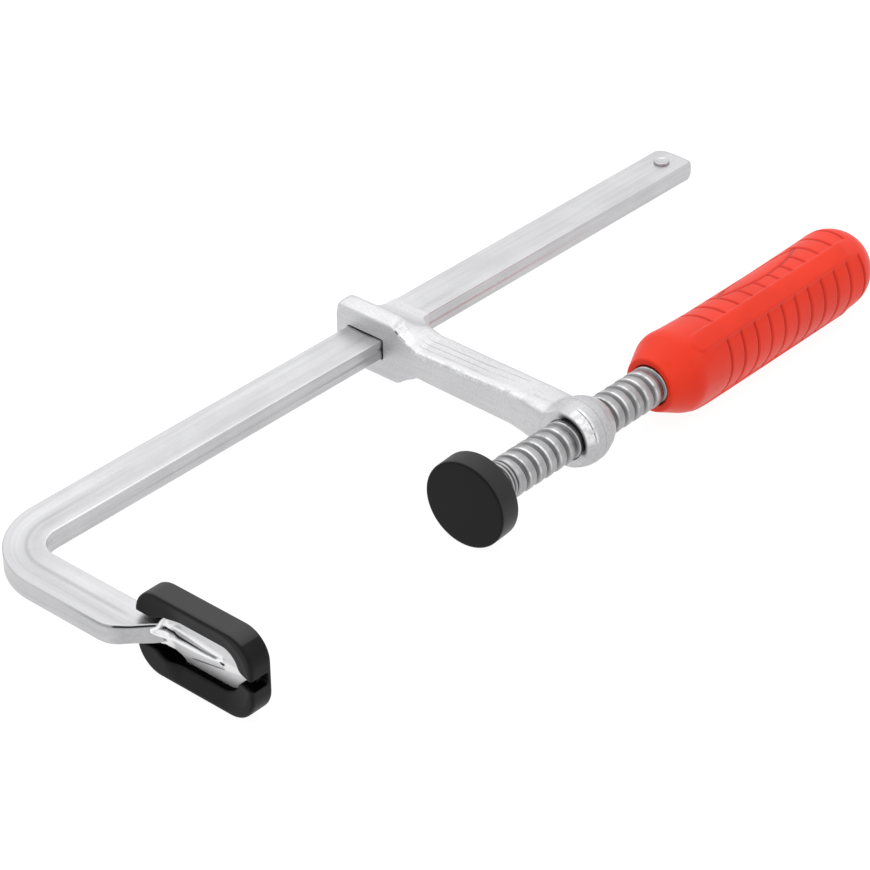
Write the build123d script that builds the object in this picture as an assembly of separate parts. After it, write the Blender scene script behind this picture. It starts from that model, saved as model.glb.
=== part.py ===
from build123d import *
import math
import os

# A drop-forged screw clamp: a grooved steel rail bent on edge into a fixed jaw, a sliding arm
# that grips the rail, and a threaded spindle with a moulded handle and a swivelling pad.
# Millimetres. The origin is the middle of the fixed jaw's face, on the spindle's axis. X runs
# along the rail away from that face, Y from the spindle towards the rail, Z out of the clamp's plane.

# The whole clamp
throat = 80.0
jaw_gap = 99.3
spindle_out = 39.7
handle_gap = 26.5
cut_overrun = 2.0

# The rail's drawn bar
bar_width = 14.8
bar_thickness = 7.0
bar_reach = 313.7
bar_end_radius = 3.5
bar_end_near_radius = 1.6
bar_end_crown = 0.9
face_groove_width = 7.6
face_groove_floor = 4.6
face_groove_depth = 0.35
edge_groove_width = 2.8
edge_groove_depth = 0.7

# The rail's bend and fixed jaw
jaw_setback = 2.7
bend_inner_radius = 9.0
bend_outer_radius = 28.0
heel_height = 33.0
heel_radius = 4.0
rib_root_height = 21.0
rib_root_depth = 5.5
rib_tip_drop = 1.2
rib_tip_depth = 5.3
rib_tip_width = 2.6
trough_width = 2.6
trough_depth = 0.9
plate_thickness = 2.3
plate_width = 23.0
plate_rise = 28.2
plate_drop = 13.0
plate_corner = 6.5
back_inset = 4.4
back_thickness = 0.7
back_edge_radius = 0.6
back_corner = 5.0

# The end stop
stop_inset = 7.2
stop_shank_radius = 2.0
stop_head_radius = 3.0
stop_head_height = 1.8
stop_seat_clearance = 0.05

# The fixed jaw's cap
cap_front_wall = 1.6
cap_side_wall = 2.8
cap_lip_depth = 4.3
cap_lip_reach = 3.8
cap_clearance = 0.1
cap_opening_corner = 6.5
cap_entry_corner = 4.5
cap_notch_corner = 2.2
cap_front_radius = 0.9
cap_back_radius = 0.9
arm_entry_clearance = 1.8
end_notch_width = 3.6

# The sliding arm
slot_clearance = 0.3
collar_height = 21.2
collar_crest_height = 23.6
collar_depth = 6.0
collar_far_wall = 5.1
collar_near_wall = 9.8
collar_corner = 3.0
collar_front_radius = 0.9
collar_crest_radius = 3.0
shoulder_run = 7.0
shoulder_drop = 5.4
far_side_run = 9.0
far_taper_run = 9.0
far_side_blend = 8.0
sleeve_depth = 23.3
sleeve_height = 8.8
sleeve_rear_wall = 0.9
root_overlap = 2.6
root_inset = 0.1
flank_blend = 5.0
arm_depth = 14.0
arm_tip_depth = 11.8
arm_root_height = 10.7
arm_tip_height = 14.9
arm_edge_radius = 1.2
arm_tip_edge_radius = 2.8
boss_proud = 2.8
boss_length = 16.0
boss_radius = 11.2
boss_front_radius = 9.4
boss_back_radius = 7.8
boss_crown_share = 0.4
countersink_radius = 8.6
countersink_depth = 1.8
bore_clearance = 0.08

# The spindle
spindle_radius = 6.9
spindle_lead = 1.1
spindle_lead_radius = 5.4
ball_radius = 3.6
ball_nose = 2.4
neck_radius = 2.3
tang_width = 9.2
tang_length = 72.0

# The handle
handle_length = 112.2
handle_mouth_radius = 9.2
handle_mouth_depth = 5.0
handle_mouth_clearance = 0.6
handle_band_radius = 15.2
handle_shoulder_reach = 10.5
handle_shoulder_radius = 14.4
handle_shoulder_blend = 7.0
handle_waist_reach = 30.0
handle_waist_run = 36.0
handle_waist_radius = 13.6
handle_waist_blend = 60.0
handle_dome_length = 15.0
handle_dome_radius = 14.3
band_width = 6.4
band_start = 12.6
band_fade_length = 13.0
band_count = 3
handle_turn = 33.0

# The swivelling pad
pad_radius = 14.7
pad_depth = 8.2
pad_rest_tilt = 4.0
pad_front_wall = 1.6
pad_side_wall = 1.7
pad_edge_radius = 0.9
pad_lip_depth = 0.7
pad_lip_reach = 1.2
pad_clearance = 0.05
socket_floor = 0.6
socket_nose_room = 0.4
ball_clearance = 0.05
ring_wire = 0.45
ring_setback = 2.1
ring_gap = 1.0
groove_room = 0.45
groove_wall = 0.5
hub_radius = 6.2
hub_proud = 0.2
spindle_standoff = 1.1

# Places worked out from the sizes
bar_inner = throat
bar_outer = throat + bar_width
bar_centre = throat + bar_width / 2
half_bar = bar_thickness / 2
arm_inner = -jaw_setback
arm_outer = -jaw_setback - bar_width
arm_centre = -jaw_setback - bar_width / 2
plate_front = -cap_front_wall
plate_back = plate_front - plate_thickness
jaw_back = plate_back - back_thickness
pad_back = jaw_gap + pad_depth
boss_front = pad_back + spindle_out
boss_back = boss_front + boss_length
arm_front = boss_front + boss_proud
handle_front = boss_back + handle_gap
handle_end = handle_front + handle_length


def polygon(points):
    """A flat face with straight sides through points on the XY plane."""
    return make_face(Polyline(*points, close=True))


def turned(edges):
    """A solid of revolution about X from an outline of X and radius."""
    return revolve(make_face(edges), axis=Axis.X)


def bend_path(inset_outer, reach_x, reach_y):
    """The line, arc and line that follow the rail at a distance in from its outer edge."""
    share = inset_outer / bar_width
    radius = bend_outer_radius + (bend_inner_radius - bend_outer_radius) * share
    run_y = bar_outer - inset_outer
    run_x = arm_outer + inset_outer
    centre_x = run_x + radius
    centre_y = run_y - radius
    middle = math.sqrt(2) / 2
    arc = ThreePointArc(
        (centre_x, run_y),
        (centre_x - radius * middle, centre_y + radius * middle),
        (run_x, centre_y),
    )
    along_bar = Line((reach_x, run_y), (centre_x, run_y))
    down_arm = Line((run_x, centre_y), (run_x, reach_y))
    return along_bar, arc, down_arm


def swept_groove(section, path_edges):
    """A cutter that follows the rail, from a section of Z offset and distance outwards."""
    path = Wire(list(path_edges))
    start = Plane(origin=path @ 0, x_dir=(0, 0, 1), z_dir=path % 0)
    return sweep(start * polygon(section), path=path)


def vee(width, depth, outwards):
    """A V section of the named width and depth, open on the side that outwards gives."""
    over = cut_overrun
    half = width / 2 * (depth + over) / depth
    return [(0, -depth * outwards), (half, over * outwards), (-half, over * outwards)]


def rounded_plate(inset, corner):
    """The jaw plate's outline on the YZ plane, drawn in on all sides by inset."""
    tall = plate_rise + plate_drop - 2 * inset
    wide = plate_width - 2 * inset
    middle_y = (plate_rise - plate_drop) / 2
    return Plane.YZ * Pos(middle_y, 0) * RectangleRounded(tall, wide, corner)


def make_rail():
    """The drawn bar, bent on edge, with the plate and rib forged at its end."""
    outer_line, outer_arc, outer_arm = bend_path(0, bar_reach, heel_height)
    inner_line, inner_arc, inner_arm = bend_path(bar_width, bar_reach, plate_rise)
    end_arc = ThreePointArc(
        (bar_reach, bar_inner),
        (bar_reach + bar_end_crown, bar_centre),
        (bar_reach, bar_outer),
    )
    jaw = Polyline(
        (arm_outer, heel_height),
        (-rib_root_depth, rib_root_height),
        (plate_front, rib_root_height),
        (plate_front, plate_rise),
        (arm_inner, plate_rise),
    )
    loop = [outer_line, outer_arc, outer_arm, jaw, inner_arm, inner_arc, inner_line, end_arc]
    outline = make_face(Wire([edge for part in loop for edge in part.edges()]))
    for corner, radius in (((bar_reach, bar_outer), bar_end_radius),
                           ((bar_reach, bar_inner), bar_end_near_radius)):
        outline = fillet(outline.vertices().sort_by_distance(corner)[0], radius)
    heel = outline.vertices().sort_by_distance((arm_outer, heel_height))[0]
    outline = fillet(heel, heel_radius)
    rail = extrude(outline, half_bar, both=True)

    rail += extrude(rounded_plate(0, plate_corner), -plate_thickness).moved(Pos(plate_front, 0, 0))
    raised = extrude(rounded_plate(back_inset, back_corner), -back_thickness).moved(Pos(plate_back, 0, 0))
    raised = fillet(raised.faces().sort_by(Axis.X)[0].edges(), back_edge_radius)
    rail += raised

    rib_root = Plane.XZ.offset(-rib_root_height) * polygon([
        (-rib_root_depth, half_bar), (plate_back, half_bar),
        (plate_back, -half_bar), (-rib_root_depth, -half_bar),
    ])
    rib_tip = Plane.XZ.offset(rib_tip_drop) * polygon([
        (-rib_tip_depth, rib_tip_width / 2), (plate_back, rib_tip_width / 2),
        (plate_back, -rib_tip_width / 2), (-rib_tip_depth, -rib_tip_width / 2),
    ])
    rail += loft([rib_root, rib_tip])

    far_x = bar_reach + cut_overrun
    groove_inset = bar_width / 2
    face_section = [
        (0, face_groove_floor / 2), (0, -face_groove_floor / 2),
        (face_groove_depth, -face_groove_width / 2), (face_groove_depth, face_groove_width / 2),
    ]
    groove_end = heel_height - face_groove_width / 2
    for side in (1, -1):
        floor = half_bar - face_groove_depth
        section = [(side * (floor + rise), across) for rise, across in face_section]
        rail -= swept_groove(section, bend_path(groove_inset, far_x, groove_end))
    rail -= swept_groove(
        vee(edge_groove_width, edge_groove_depth, 1), bend_path(0, far_x, heel_height + heel_radius)
    )
    rail -= swept_groove(
        vee(edge_groove_width, edge_groove_depth, -1),
        bend_path(bar_width, far_x, plate_rise + cap_side_wall + arm_entry_clearance),
    )
    trough_root = Plane.XZ.offset(-heel_height) * polygon([
        (-rib_root_depth + trough_depth, 0),
        (-rib_root_depth - cut_overrun, trough_width),
        (-rib_root_depth - cut_overrun, -trough_width),
    ])
    trough_tip = Plane.XZ.offset(rib_tip_drop) * polygon([
        (-rib_tip_depth + trough_depth / 2, 0),
        (-rib_tip_depth - cut_overrun, trough_width / 2),
        (-rib_tip_depth - cut_overrun, -trough_width / 2),
    ])
    rail -= loft([trough_root, trough_tip])

    stop_place = Pos(bar_reach - stop_inset, bar_centre, 0)
    rail -= stop_place * Cylinder(stop_shank_radius, bar_thickness + cut_overrun)
    seat_depth = face_groove_depth + cut_overrun
    for side in (1, -1):
        seat_z = side * (half_bar - face_groove_depth + seat_depth / 2)
        rail -= stop_place * Pos(0, 0, seat_z) * Cylinder(
            stop_head_radius + stop_seat_clearance, seat_depth
        )
    return rail


def make_end_stop():
    """A rivet through the bar with a domed head seated in each face groove."""
    seat = half_bar - face_groove_depth
    top = seat + stop_head_height
    profile = make_face([
        Line((0, -top), (0, top)).edge(),
        TangentArc((0, top), (stop_head_radius, seat), tangent=(1, 0)).edge(),
        Polyline(
            (stop_head_radius, seat), (stop_shank_radius, seat),
            (stop_shank_radius, -seat), (stop_head_radius, -seat),
        ),
        TangentArc((0, -top), (stop_head_radius, -seat), tangent=(1, 0)).edge(),
    ])
    stop = revolve(Plane.XZ * profile, axis=Axis.Z)
    return stop.moved(Pos(bar_reach - stop_inset, bar_centre, 0))


def make_fixed_cap():
    """A moulded pan that snaps over the plate, with lips, an arm entry and an end notch."""
    depth = cap_front_wall + plate_thickness + cap_lip_depth
    cap = extrude(rounded_plate(-cap_side_wall, plate_corner + cap_side_wall), -depth)
    cap = fillet(cap.faces().sort_by(Axis.X)[-1].edges(), cap_front_radius)
    cap = fillet(cap.faces().sort_by(Axis.X)[0].edges(), cap_back_radius)
    seat_outline = rounded_plate(-cap_clearance, plate_corner + cap_clearance)
    seat = extrude(seat_outline, -plate_thickness - cap_clearance)
    cap -= seat.moved(Pos(plate_front, 0, 0))
    entry_width = bar_thickness + 2 * arm_entry_clearance
    opening_top = plate_rise - cap_lip_reach
    opening_low = cap_lip_reach - plate_drop
    way_out = cap_side_wall + cap_lip_reach + cut_overrun + cap_opening_corner
    gap = rounded_plate(cap_lip_reach, cap_opening_corner)
    ways = (
        (opening_top, 1, entry_width, cap_entry_corner),
        (opening_low, -1, end_notch_width, cap_notch_corner),
    )
    for edge_y, side, width, corner in ways:
        middle = edge_y + side * (way_out / 2 - cap_opening_corner)
        gap += Plane.YZ * Pos(middle, 0) * Rectangle(way_out, width)
        for half in (width / 2, -width / 2):
            gap = fillet(gap.vertices().sort_by_distance((0, edge_y, half))[0], corner)
    cap -= extrude(gap, -depth).moved(Pos(plate_front, 0, 0))
    return cap


def make_sliding_arm():
    """A forging: a collar round the rail, a tapered arm and a barrel boss round the spindle."""
    slot_width = bar_width + 2 * slot_clearance
    slot_height = bar_thickness + 2 * slot_clearance
    slot_far = bar_centre + slot_width / 2
    slot_near = bar_centre - slot_width / 2
    far_y = slot_far + collar_far_wall
    near_y = slot_near - collar_near_wall
    rear_x = arm_front + sleeve_depth
    slope_x = arm_front + collar_depth
    top = collar_crest_height / 2
    front_z = collar_height / 2
    low = sleeve_height / 2
    shoulder_y = near_y + shoulder_run
    shoulder_z = top - shoulder_drop
    front = polygon([
        (far_y, -top), (far_y, top), (shoulder_y, top), (near_y, shoulder_z),
        (near_y, -shoulder_z), (shoulder_y, -top),
    ])
    front = fillet(front.vertices().group_by(Axis.X)[-1], collar_corner)
    collar = extrude(Plane.YZ.offset(arm_front) * front, sleeve_depth)
    side = make_face([
        Polyline((slope_x, -top), (arm_front, -front_z), (arm_front, front_z), (slope_x, top)),
        TangentArc((rear_x, low), (slope_x, top), tangent=(-1, 0)),
        Line((rear_x, low), (rear_x, -low)),
        TangentArc((rear_x, -low), (slope_x, -top), tangent=(-1, 0)),
    ])
    for corner in ((arm_front, front_z), (arm_front, -front_z)):
        side = fillet(side.vertices().sort_by_distance(corner)[0], collar_front_radius)
    for corner in ((slope_x, top), (slope_x, -top)):
        side = fillet(side.vertices().sort_by_distance(corner)[0], collar_crest_radius)
    collar &= extrude(Plane.XZ.offset(-far_y - cut_overrun) * side, far_y - near_y + 2 * cut_overrun)
    taper_x = arm_front + far_side_run
    plan = polygon([
        (arm_front, near_y), (arm_front, far_y), (taper_x, far_y),
        (taper_x + far_taper_run, slot_far + sleeve_rear_wall), (rear_x, slot_far + sleeve_rear_wall),
        (rear_x, slot_near - sleeve_rear_wall), (arm_front + arm_depth, near_y),
    ])
    plan = fillet(plan.vertices().sort_by_distance((taper_x, far_y))[0], far_side_blend)
    collar &= extrude(plan, collar_crest_height, both=True)

    def section(y, depth, height, corner):
        middle = arm_front + depth / 2
        return Plane.XZ.offset(-y) * Pos(middle, 0) * RectangleRounded(depth, height, corner)

    inside_y = near_y + root_overlap
    flank_z = top - shoulder_drop * (1 - root_overlap / shoulder_run) - root_inset
    joint = section(near_y - flank_blend, arm_depth, arm_root_height, arm_edge_radius)
    root = loft([section(inside_y, arm_depth, 2 * flank_z, arm_edge_radius), joint])
    blade = loft([joint, section(0, arm_tip_depth, arm_tip_height, arm_tip_edge_radius)])

    bore = spindle_radius + bore_clearance
    crown_x = boss_front + boss_length * boss_crown_share
    boss = turned([
        Polyline((boss_back, boss_back_radius), (boss_back, 0), (boss_front, 0),
                 (boss_front, boss_front_radius)),
        ThreePointArc((boss_front, boss_front_radius), (crown_x, boss_radius),
                      (boss_back, boss_back_radius)),
    ])
    arm = collar + root + blade + boss
    arm -= Pos(arm_front + sleeve_depth / 2, bar_centre, 0) * Box(
        sleeve_depth + 2 * cut_overrun, slot_width, slot_height
    )
    arm -= Pos(boss_front + boss_length / 2, 0, 0) * Rot(0, 90, 0) * Cylinder(
        bore, boss_length + 2 * cut_overrun
    )
    arm -= turned(Polyline(
        (boss_front, 0), (boss_front, countersink_radius), (boss_front + countersink_depth, bore),
        (boss_front + countersink_depth, 0), close=True,
    ))
    return arm


def ball_centre():
    """X of the ball's centre, seated in the pad's socket."""
    return jaw_gap + pad_front_wall + socket_floor + socket_nose_room + ball_nose


def make_spindle():
    """A rod with a ball end and neck for the pad and a square tang inside the handle."""
    centre = ball_centre()
    nose_radius = math.sqrt(ball_radius**2 - ball_nose**2)
    neck_x = centre + math.sqrt(ball_radius**2 - neck_radius**2)
    rod_x = pad_back + spindle_standoff
    rod_end = handle_front + handle_mouth_depth
    rod = turned([
        Line((centre - ball_nose, 0), (centre - ball_nose, nose_radius)),
        ThreePointArc((centre - ball_nose, nose_radius), (centre, ball_radius), (neck_x, neck_radius)),
        Polyline(
            (neck_x, neck_radius), (rod_x, neck_radius), (rod_x, spindle_lead_radius),
            (rod_x + spindle_lead, spindle_radius), (rod_end, spindle_radius),
            (rod_end, 0), (centre - ball_nose, 0),
        ),
    ])
    tang = Pos(rod_end + tang_length / 2, 0, 0) * Rot(handle_turn, 0, 0) * Box(
        tang_length, tang_width, tang_width
    )
    return rod + tang


def make_handle():
    """A turned body with three raised bands, moulded round the spindle's tang."""
    dome_x = handle_end - handle_dome_length
    shoulder_x = handle_front + handle_shoulder_reach
    waist_x = handle_front + handle_waist_reach
    rise_x = waist_x + handle_waist_run
    corners = [
        (shoulder_x, handle_shoulder_radius), (waist_x, handle_waist_radius),
        (rise_x, handle_waist_radius),
    ]
    body = make_face([
        Polyline((handle_end, 0), (handle_front, 0), (handle_front, handle_mouth_radius),
                 *corners, (dome_x, handle_dome_radius)),
        EllipticalCenterArc((dome_x, 0), handle_dome_length, handle_dome_radius,
                            start_angle=0, arc_size=90),
    ])
    blends = (handle_shoulder_blend, handle_waist_blend, handle_waist_blend)
    for corner, blend in zip(corners, blends):
        body = fillet(body.vertices().sort_by_distance(corner)[0], blend)
    body = revolve(body, axis=Axis.X)

    start_x = handle_front + band_start
    band_length = handle_end - start_x
    envelope = turned([
        Polyline((dome_x + band_fade_length, 0), (start_x, 0), (start_x, handle_band_radius),
                 (dome_x, handle_band_radius)),
        EllipticalCenterArc((dome_x, 0), band_fade_length, handle_band_radius,
                            start_angle=0, arc_size=90),
    ])
    strip = Plane.XY * Pos(start_x + band_length / 2, 0) * SlotOverall(band_length, band_width)
    block = extrude(strip, handle_band_radius + cut_overrun)
    for index in range(band_count):
        turn = handle_turn + 360 / band_count * index
        body += Rot(turn, 0, 0) * block & envelope

    mouth = spindle_radius + handle_mouth_clearance
    body -= Pos(handle_front + handle_mouth_depth / 2, 0, 0) * Rot(0, 90, 0) * Cylinder(
        mouth, handle_mouth_depth
    )
    body -= Pos(handle_front + handle_mouth_depth + tang_length / 2, 0, 0) * Rot(
        handle_turn, 0, 0
    ) * Box(tang_length, tang_width, tang_width)
    return body


def make_pressure_plate():
    """A steel disc with the ball's socket and the groove that holds the ring."""
    centre = ball_centre()
    front = jaw_gap + pad_front_wall
    rim_back = pad_back - pad_lip_depth - pad_clearance
    hub_back = pad_back + hub_proud
    rim = pad_radius - pad_side_wall - pad_clearance
    socket = ball_radius + ball_clearance
    floor_x = centre - ball_nose - socket_nose_room
    floor_radius = math.sqrt(socket**2 - (centre - floor_x)**2)
    ring_x = centre + ring_setback
    groove_front = ring_x - ring_wire - groove_room
    groove_back = hub_back - groove_wall
    groove = ring_radius() + ring_wire + groove_room + ball_clearance
    return turned([
        Polyline(
            (floor_x, floor_radius), (floor_x, 0), (front, 0), (front, rim), (rim_back, rim),
            (rim_back, hub_radius), (hub_back, hub_radius), (hub_back, socket),
            (groove_back, socket), (groove_back, groove), (groove_front, groove),
            (groove_front, socket), (centre, socket),
        ),
        ThreePointArc(
            (floor_x, floor_radius),
            ((floor_x + centre) / 2, math.sqrt(socket**2 - ((centre - floor_x) / 2)**2)),
            (centre, socket),
        ),
    ])


def ring_radius():
    """Radius of the ring's wire centre, just clear of the ball's back."""
    reach = ball_radius + ring_wire + ball_clearance
    return math.sqrt(reach**2 - ring_setback**2)


def make_ball_ring():
    """An open wire ring behind the ball."""
    ring_x = ball_centre() + ring_setback
    ring = revolve(Pos(ring_x, ring_radius()) * Circle(ring_wire), axis=Axis.X)
    opening = Pos(ring_x, ring_radius(), 0) * Box(
        2 * ring_wire + cut_overrun, 2 * ring_wire + cut_overrun, ring_gap
    )
    return ring - opening


def make_pressure_cap():
    """A moulded cup that snaps over the steel disc."""
    front = jaw_gap + pad_front_wall
    lip_x = pad_back - pad_lip_depth
    seat = pad_radius - pad_side_wall
    cup = turned(Polyline(
        (jaw_gap, 0), (jaw_gap, pad_radius), (pad_back, pad_radius),
        (pad_back, seat - pad_lip_reach), (lip_x, seat - pad_lip_reach), (lip_x, seat),
        (front, seat), (front, 0), close=True,
    ))
    rims = cup.edges().filter_by(GeomType.CIRCLE)
    outer = rims.filter_by(lambda edge: edge.radius > pad_radius - pad_clearance)
    return fillet(outer, pad_edge_radius)


def tilted(piece):
    """A piece of the pad, hanging a little off square on the ball as a loose pad does."""
    centre = ball_centre()
    return Pos(centre, 0, 0) * Rot(0, 0, pad_rest_tilt) * Pos(-centre, 0, 0) * piece


pieces = {
    "rail": make_rail(),
    "end_stop_pin": make_end_stop(),
    "fixed_jaw_cap": make_fixed_cap(),
    "sliding_arm": make_sliding_arm(),
    "spindle": make_spindle(),
    "handle": make_handle(),
    "ball_ring": make_ball_ring(),
    "pressure_plate": tilted(make_pressure_plate()),
    "pressure_cap": tilted(make_pressure_cap()),
}

os.makedirs("parts", exist_ok=True)
for name, piece in pieces.items():
    solids = piece.solids()
    print(name, len(solids), round(sum(solid.volume for solid in solids), 2), piece.is_valid)
    export_step(piece, f"parts/{name}.step")
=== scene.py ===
import math

import bmesh
import bpy
import numpy as np
from mathutils import Matrix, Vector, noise


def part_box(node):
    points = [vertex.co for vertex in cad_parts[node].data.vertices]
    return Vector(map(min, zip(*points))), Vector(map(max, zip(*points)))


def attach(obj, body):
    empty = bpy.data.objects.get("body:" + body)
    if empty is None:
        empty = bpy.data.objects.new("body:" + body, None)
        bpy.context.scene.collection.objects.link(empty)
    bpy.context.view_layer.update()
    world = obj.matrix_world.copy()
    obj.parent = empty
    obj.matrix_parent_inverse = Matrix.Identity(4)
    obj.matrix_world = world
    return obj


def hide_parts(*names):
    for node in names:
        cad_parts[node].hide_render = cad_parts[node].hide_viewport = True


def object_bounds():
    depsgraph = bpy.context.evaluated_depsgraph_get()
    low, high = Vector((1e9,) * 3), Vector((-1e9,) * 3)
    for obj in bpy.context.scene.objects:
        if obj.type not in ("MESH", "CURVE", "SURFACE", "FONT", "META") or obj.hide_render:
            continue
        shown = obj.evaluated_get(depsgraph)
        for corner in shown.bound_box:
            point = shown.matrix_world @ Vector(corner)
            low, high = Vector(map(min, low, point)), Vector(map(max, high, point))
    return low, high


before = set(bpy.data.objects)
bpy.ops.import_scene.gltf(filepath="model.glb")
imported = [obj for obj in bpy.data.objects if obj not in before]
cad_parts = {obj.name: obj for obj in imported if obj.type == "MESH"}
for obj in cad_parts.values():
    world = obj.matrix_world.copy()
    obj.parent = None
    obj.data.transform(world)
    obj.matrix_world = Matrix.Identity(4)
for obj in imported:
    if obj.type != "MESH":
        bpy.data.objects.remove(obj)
cad_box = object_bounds()


# Rail
# A drawn steel bar, bright plated, with a broad shallow trough down each wide face and a fine line
# along each narrow edge. It is bent on edge, and its end is forged into a heel, a plate and a rib.
mm = 0.001
pole_weld = 0.002
rail_low, rail_high = [np.array(corner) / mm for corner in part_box("rail")]
bar_width = 14.8
bar_half = 3.5
bar_corner = 0.45
bar_outer = rail_high[1]
bar_inner = bar_outer - bar_width
bar_centre = (bar_outer + bar_inner) / 2
bar_end = rail_high[0]
arm_outer = rail_low[0]
arm_inner = arm_outer + bar_width
trough_margin = 2.2
trough_slope = 3.9
straight_trough = 0.10
bent_trough = 0.3
trough_fade = (12.0, 70.0)
stripe_place_share = 0.55
stripe_half_share = 0.055
stripe_shade = 0.2
edge_line_half = 1.3
edge_line_depth = 0.28
edge_line_run = 30.0
edge_wear = 0.5
edge_wear_fade = (20.0, 110.0)
end_crown = 0.7
end_far_corner = 3.5
end_near_corner = 1.6
end_edge = 1.9
end_edge_share = 0.75
end_dome = 1.4
end_run = 10.0
bend_outer_radius = 28.0
bend_inner_radius = 9.0
heel_top = 37.0
heel_bend = 33.0
heel_softness = 1.3
heel_margin = 2.0
heel_line_run = 3.0
heel_stripe_start = 28.0
heel_shade = 0.16
heel_shade_span = (30.0, 34.0)
bevel_foot = (-5.5, 21.0)
bevel_end = 21.6
seam_height = 2.7
seam_half = 0.6
seam_depth = 0.4
seam_sharpness = 1.8
seam_span = (22.6, 32.8)
seam_soft = 1.0
seam_run = 18.0
seam_thin_share = 0.35
root_z = 1.5
root_half = 1.0
root_depth = 0.9
root_start = 23.4
root_run = 2.4
wall_points = (7, 8)
corner_points = 5
face_points = 45
edge_rings = 9
end_rings = 12
straight_rings = 41
bend_rings = 33
jaw_arm_rings = 9
heel_rings = 44


def smooth_step(value, low, high):
    """0 below low and 1 above high, with a soft rise between them."""
    share = np.clip((np.asarray(value, float) - low) / (high - low), 0, 1)
    return share * share * (3 - 2 * share)


def soft_span(value, start, end):
    """1 between two soft ends, each given by the pair of values that it runs over."""
    return smooth_step(value, *start) * (1 - smooth_step(value, *end))


def hump(value, middle, half):
    """1 at the middle, with a soft fall to both sides."""
    return np.exp(-((value - middle) / half)**2)


def between(pair, share):
    """A value between the two of a pair."""
    return pair[0] + (pair[1] - pair[0]) * share


def new_shell():
    """A mesh in the making, whose points know the way along the metal, their painted shade and, below 0,
    their paler finish and painted highlight.
    """
    shell = bmesh.new()
    shell.verts.layers.float_vector.new("flow")
    shell.verts.layers.float.new("grime")
    return shell


def add_points(shell, points, flow=None, grime=None):
    """New points in millimetres, with their way along the metal and their painted shade, below 0 where they
    take a paler finish or a painted highlight.
    """
    flow_layer = shell.verts.layers.float_vector["flow"]
    shade_highlight_and_wear_layer = shell.verts.layers.float["grime"]
    made = []
    for index, point in enumerate(points):
        vert = shell.verts.new(np.asarray(point) * mm)
        vert[flow_layer] = np.asarray(point if flow is None else flow[index]) * mm
        vert[shade_highlight_and_wear_layer] = 0.0 if grime is None else float(grime[index])
        made.append(vert)
    return made


def add_tube(shell, rings, flows=None, shade_highlight_and_wear_rows=None):
    """A closed tube through rings of points; each end is filled across like the rungs of a ladder."""
    rows = [add_points(shell, ring, flows and flows[index], shade_highlight_and_wear_rows and shade_highlight_and_wear_rows[index])
            for index, ring in enumerate(rings)]
    around = len(rows[0])
    for low, high in zip(rows, rows[1:]):
        for step in range(around):
            after = (step + 1) % around
            shell.faces.new((low[step], low[after], high[after], high[step]))
    for row in (rows[0][::-1], rows[-1]):
        for step in range(around // 2):
            corners = (row[step], row[step + 1], row[around - step - 1], row[-step])
            shell.faces.new(list(dict.fromkeys(corners)))


def link(name, mesh):
    """A new object at the origin that holds the mesh."""
    piece = bpy.data.objects.new(name, mesh)
    bpy.context.scene.collection.objects.link(piece)
    return piece


def to_piece(name, shell, place=None):
    """Closes the poles, turns the faces outwards and leaves an object at the origin."""
    bmesh.ops.remove_doubles(shell, verts=shell.verts, dist=pole_weld * mm)
    bmesh.ops.recalc_face_normals(shell, faces=shell.faces)
    for face in shell.faces:
        face.smooth = True
    mesh = bpy.data.meshes.new(name)
    shell.to_mesh(mesh)
    shell.free()
    if place is not None:
        mesh.transform(place)
    return link(name, mesh)


def bar_face(inwards, trough):
    """Height of the wide face over the bar's middle, at a distance in from the outer edge."""
    edge = trough_margin + trough_slope
    return bar_half - trough * (smooth_step(inwards, trough_margin, edge)
                                * smooth_step(bar_width - inwards, trough_margin, edge))


def bar_loop(trough, edge_line=edge_line_depth, cut=0.0, seam=0.0, root=0.0,
             wear=0.0, shade=0.0, stripe=0.0):
    """The bar's section from the middle of its outer edge over the top and back underneath."""
    rim = float(bar_face(cut + bar_corner, trough))
    wall_top = bar_half - bar_corner
    seam_foot = seam_height - seam_half
    steps = np.concatenate([np.linspace(0, seam_foot, wall_points[0])[:-1],
                            np.linspace(seam_foot, wall_top, wall_points[1])])

    def line_depth(height):
        return edge_line * (1 - smooth_step(abs(height), 0, edge_line_half))

    def outer_wall(height):
        from_seam = abs(height - seam_height) / seam_half
        crease = seam * float(np.clip(seam_sharpness * (1 - from_seam), 0, 1))
        notch = root * max(0.0, 1 - abs(height - root_z) / root_half)
        inwards = cut + line_depth(height) + crease * seam_depth + notch * root_depth
        # Painted shade darkens the seam's crease, the root's notch and the heel's wall.
        return inwards, height * (rim - bar_corner) / wall_top, max(crease, notch, shade)

    def inner_wall(height):
        return bar_width - line_depth(height), height, 0.0

    turns = np.linspace(0, math.pi / 2, corner_points)[1:-1]
    outer_turn = [(cut + bar_corner * (1 - math.cos(t)), rim - bar_corner * (1 - math.sin(t)), 0.0)
                  for t in turns]
    # The inner corner, above and below, is painted pale as a highlight.
    inner_turn = [(bar_width - bar_corner * (1 - math.sin(t)), bar_half - bar_corner * (1 - math.cos(t)),
                   -wear) for t in turns]
    spread = (1 - np.cos(np.linspace(0, math.pi, face_points))) / 2
    flat = cut + bar_corner + (bar_width - 2 * bar_corner - cut) * spread
    # Painted shade darkens a stripe down the middle of the trough.
    band = stripe * hump(flat / bar_width, stripe_place_share, stripe_half_share)
    top = [(a, float(bar_face(a, trough)), dark) for a, dark in zip(flat, band)]

    def under(points):
        return [(a, -height, grime) for a, height, grime in points[::-1]]

    loop = [outer_wall(height) for height in steps] + outer_turn + top + inner_turn
    loop += [inner_wall(height) for height in steps[::-1]] + [inner_wall(-height) for height in steps[1:]]
    loop += under(inner_turn) + under(top) + under(outer_turn)
    return np.array(loop + [outer_wall(-height) for height in steps[:0:-1]])


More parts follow.
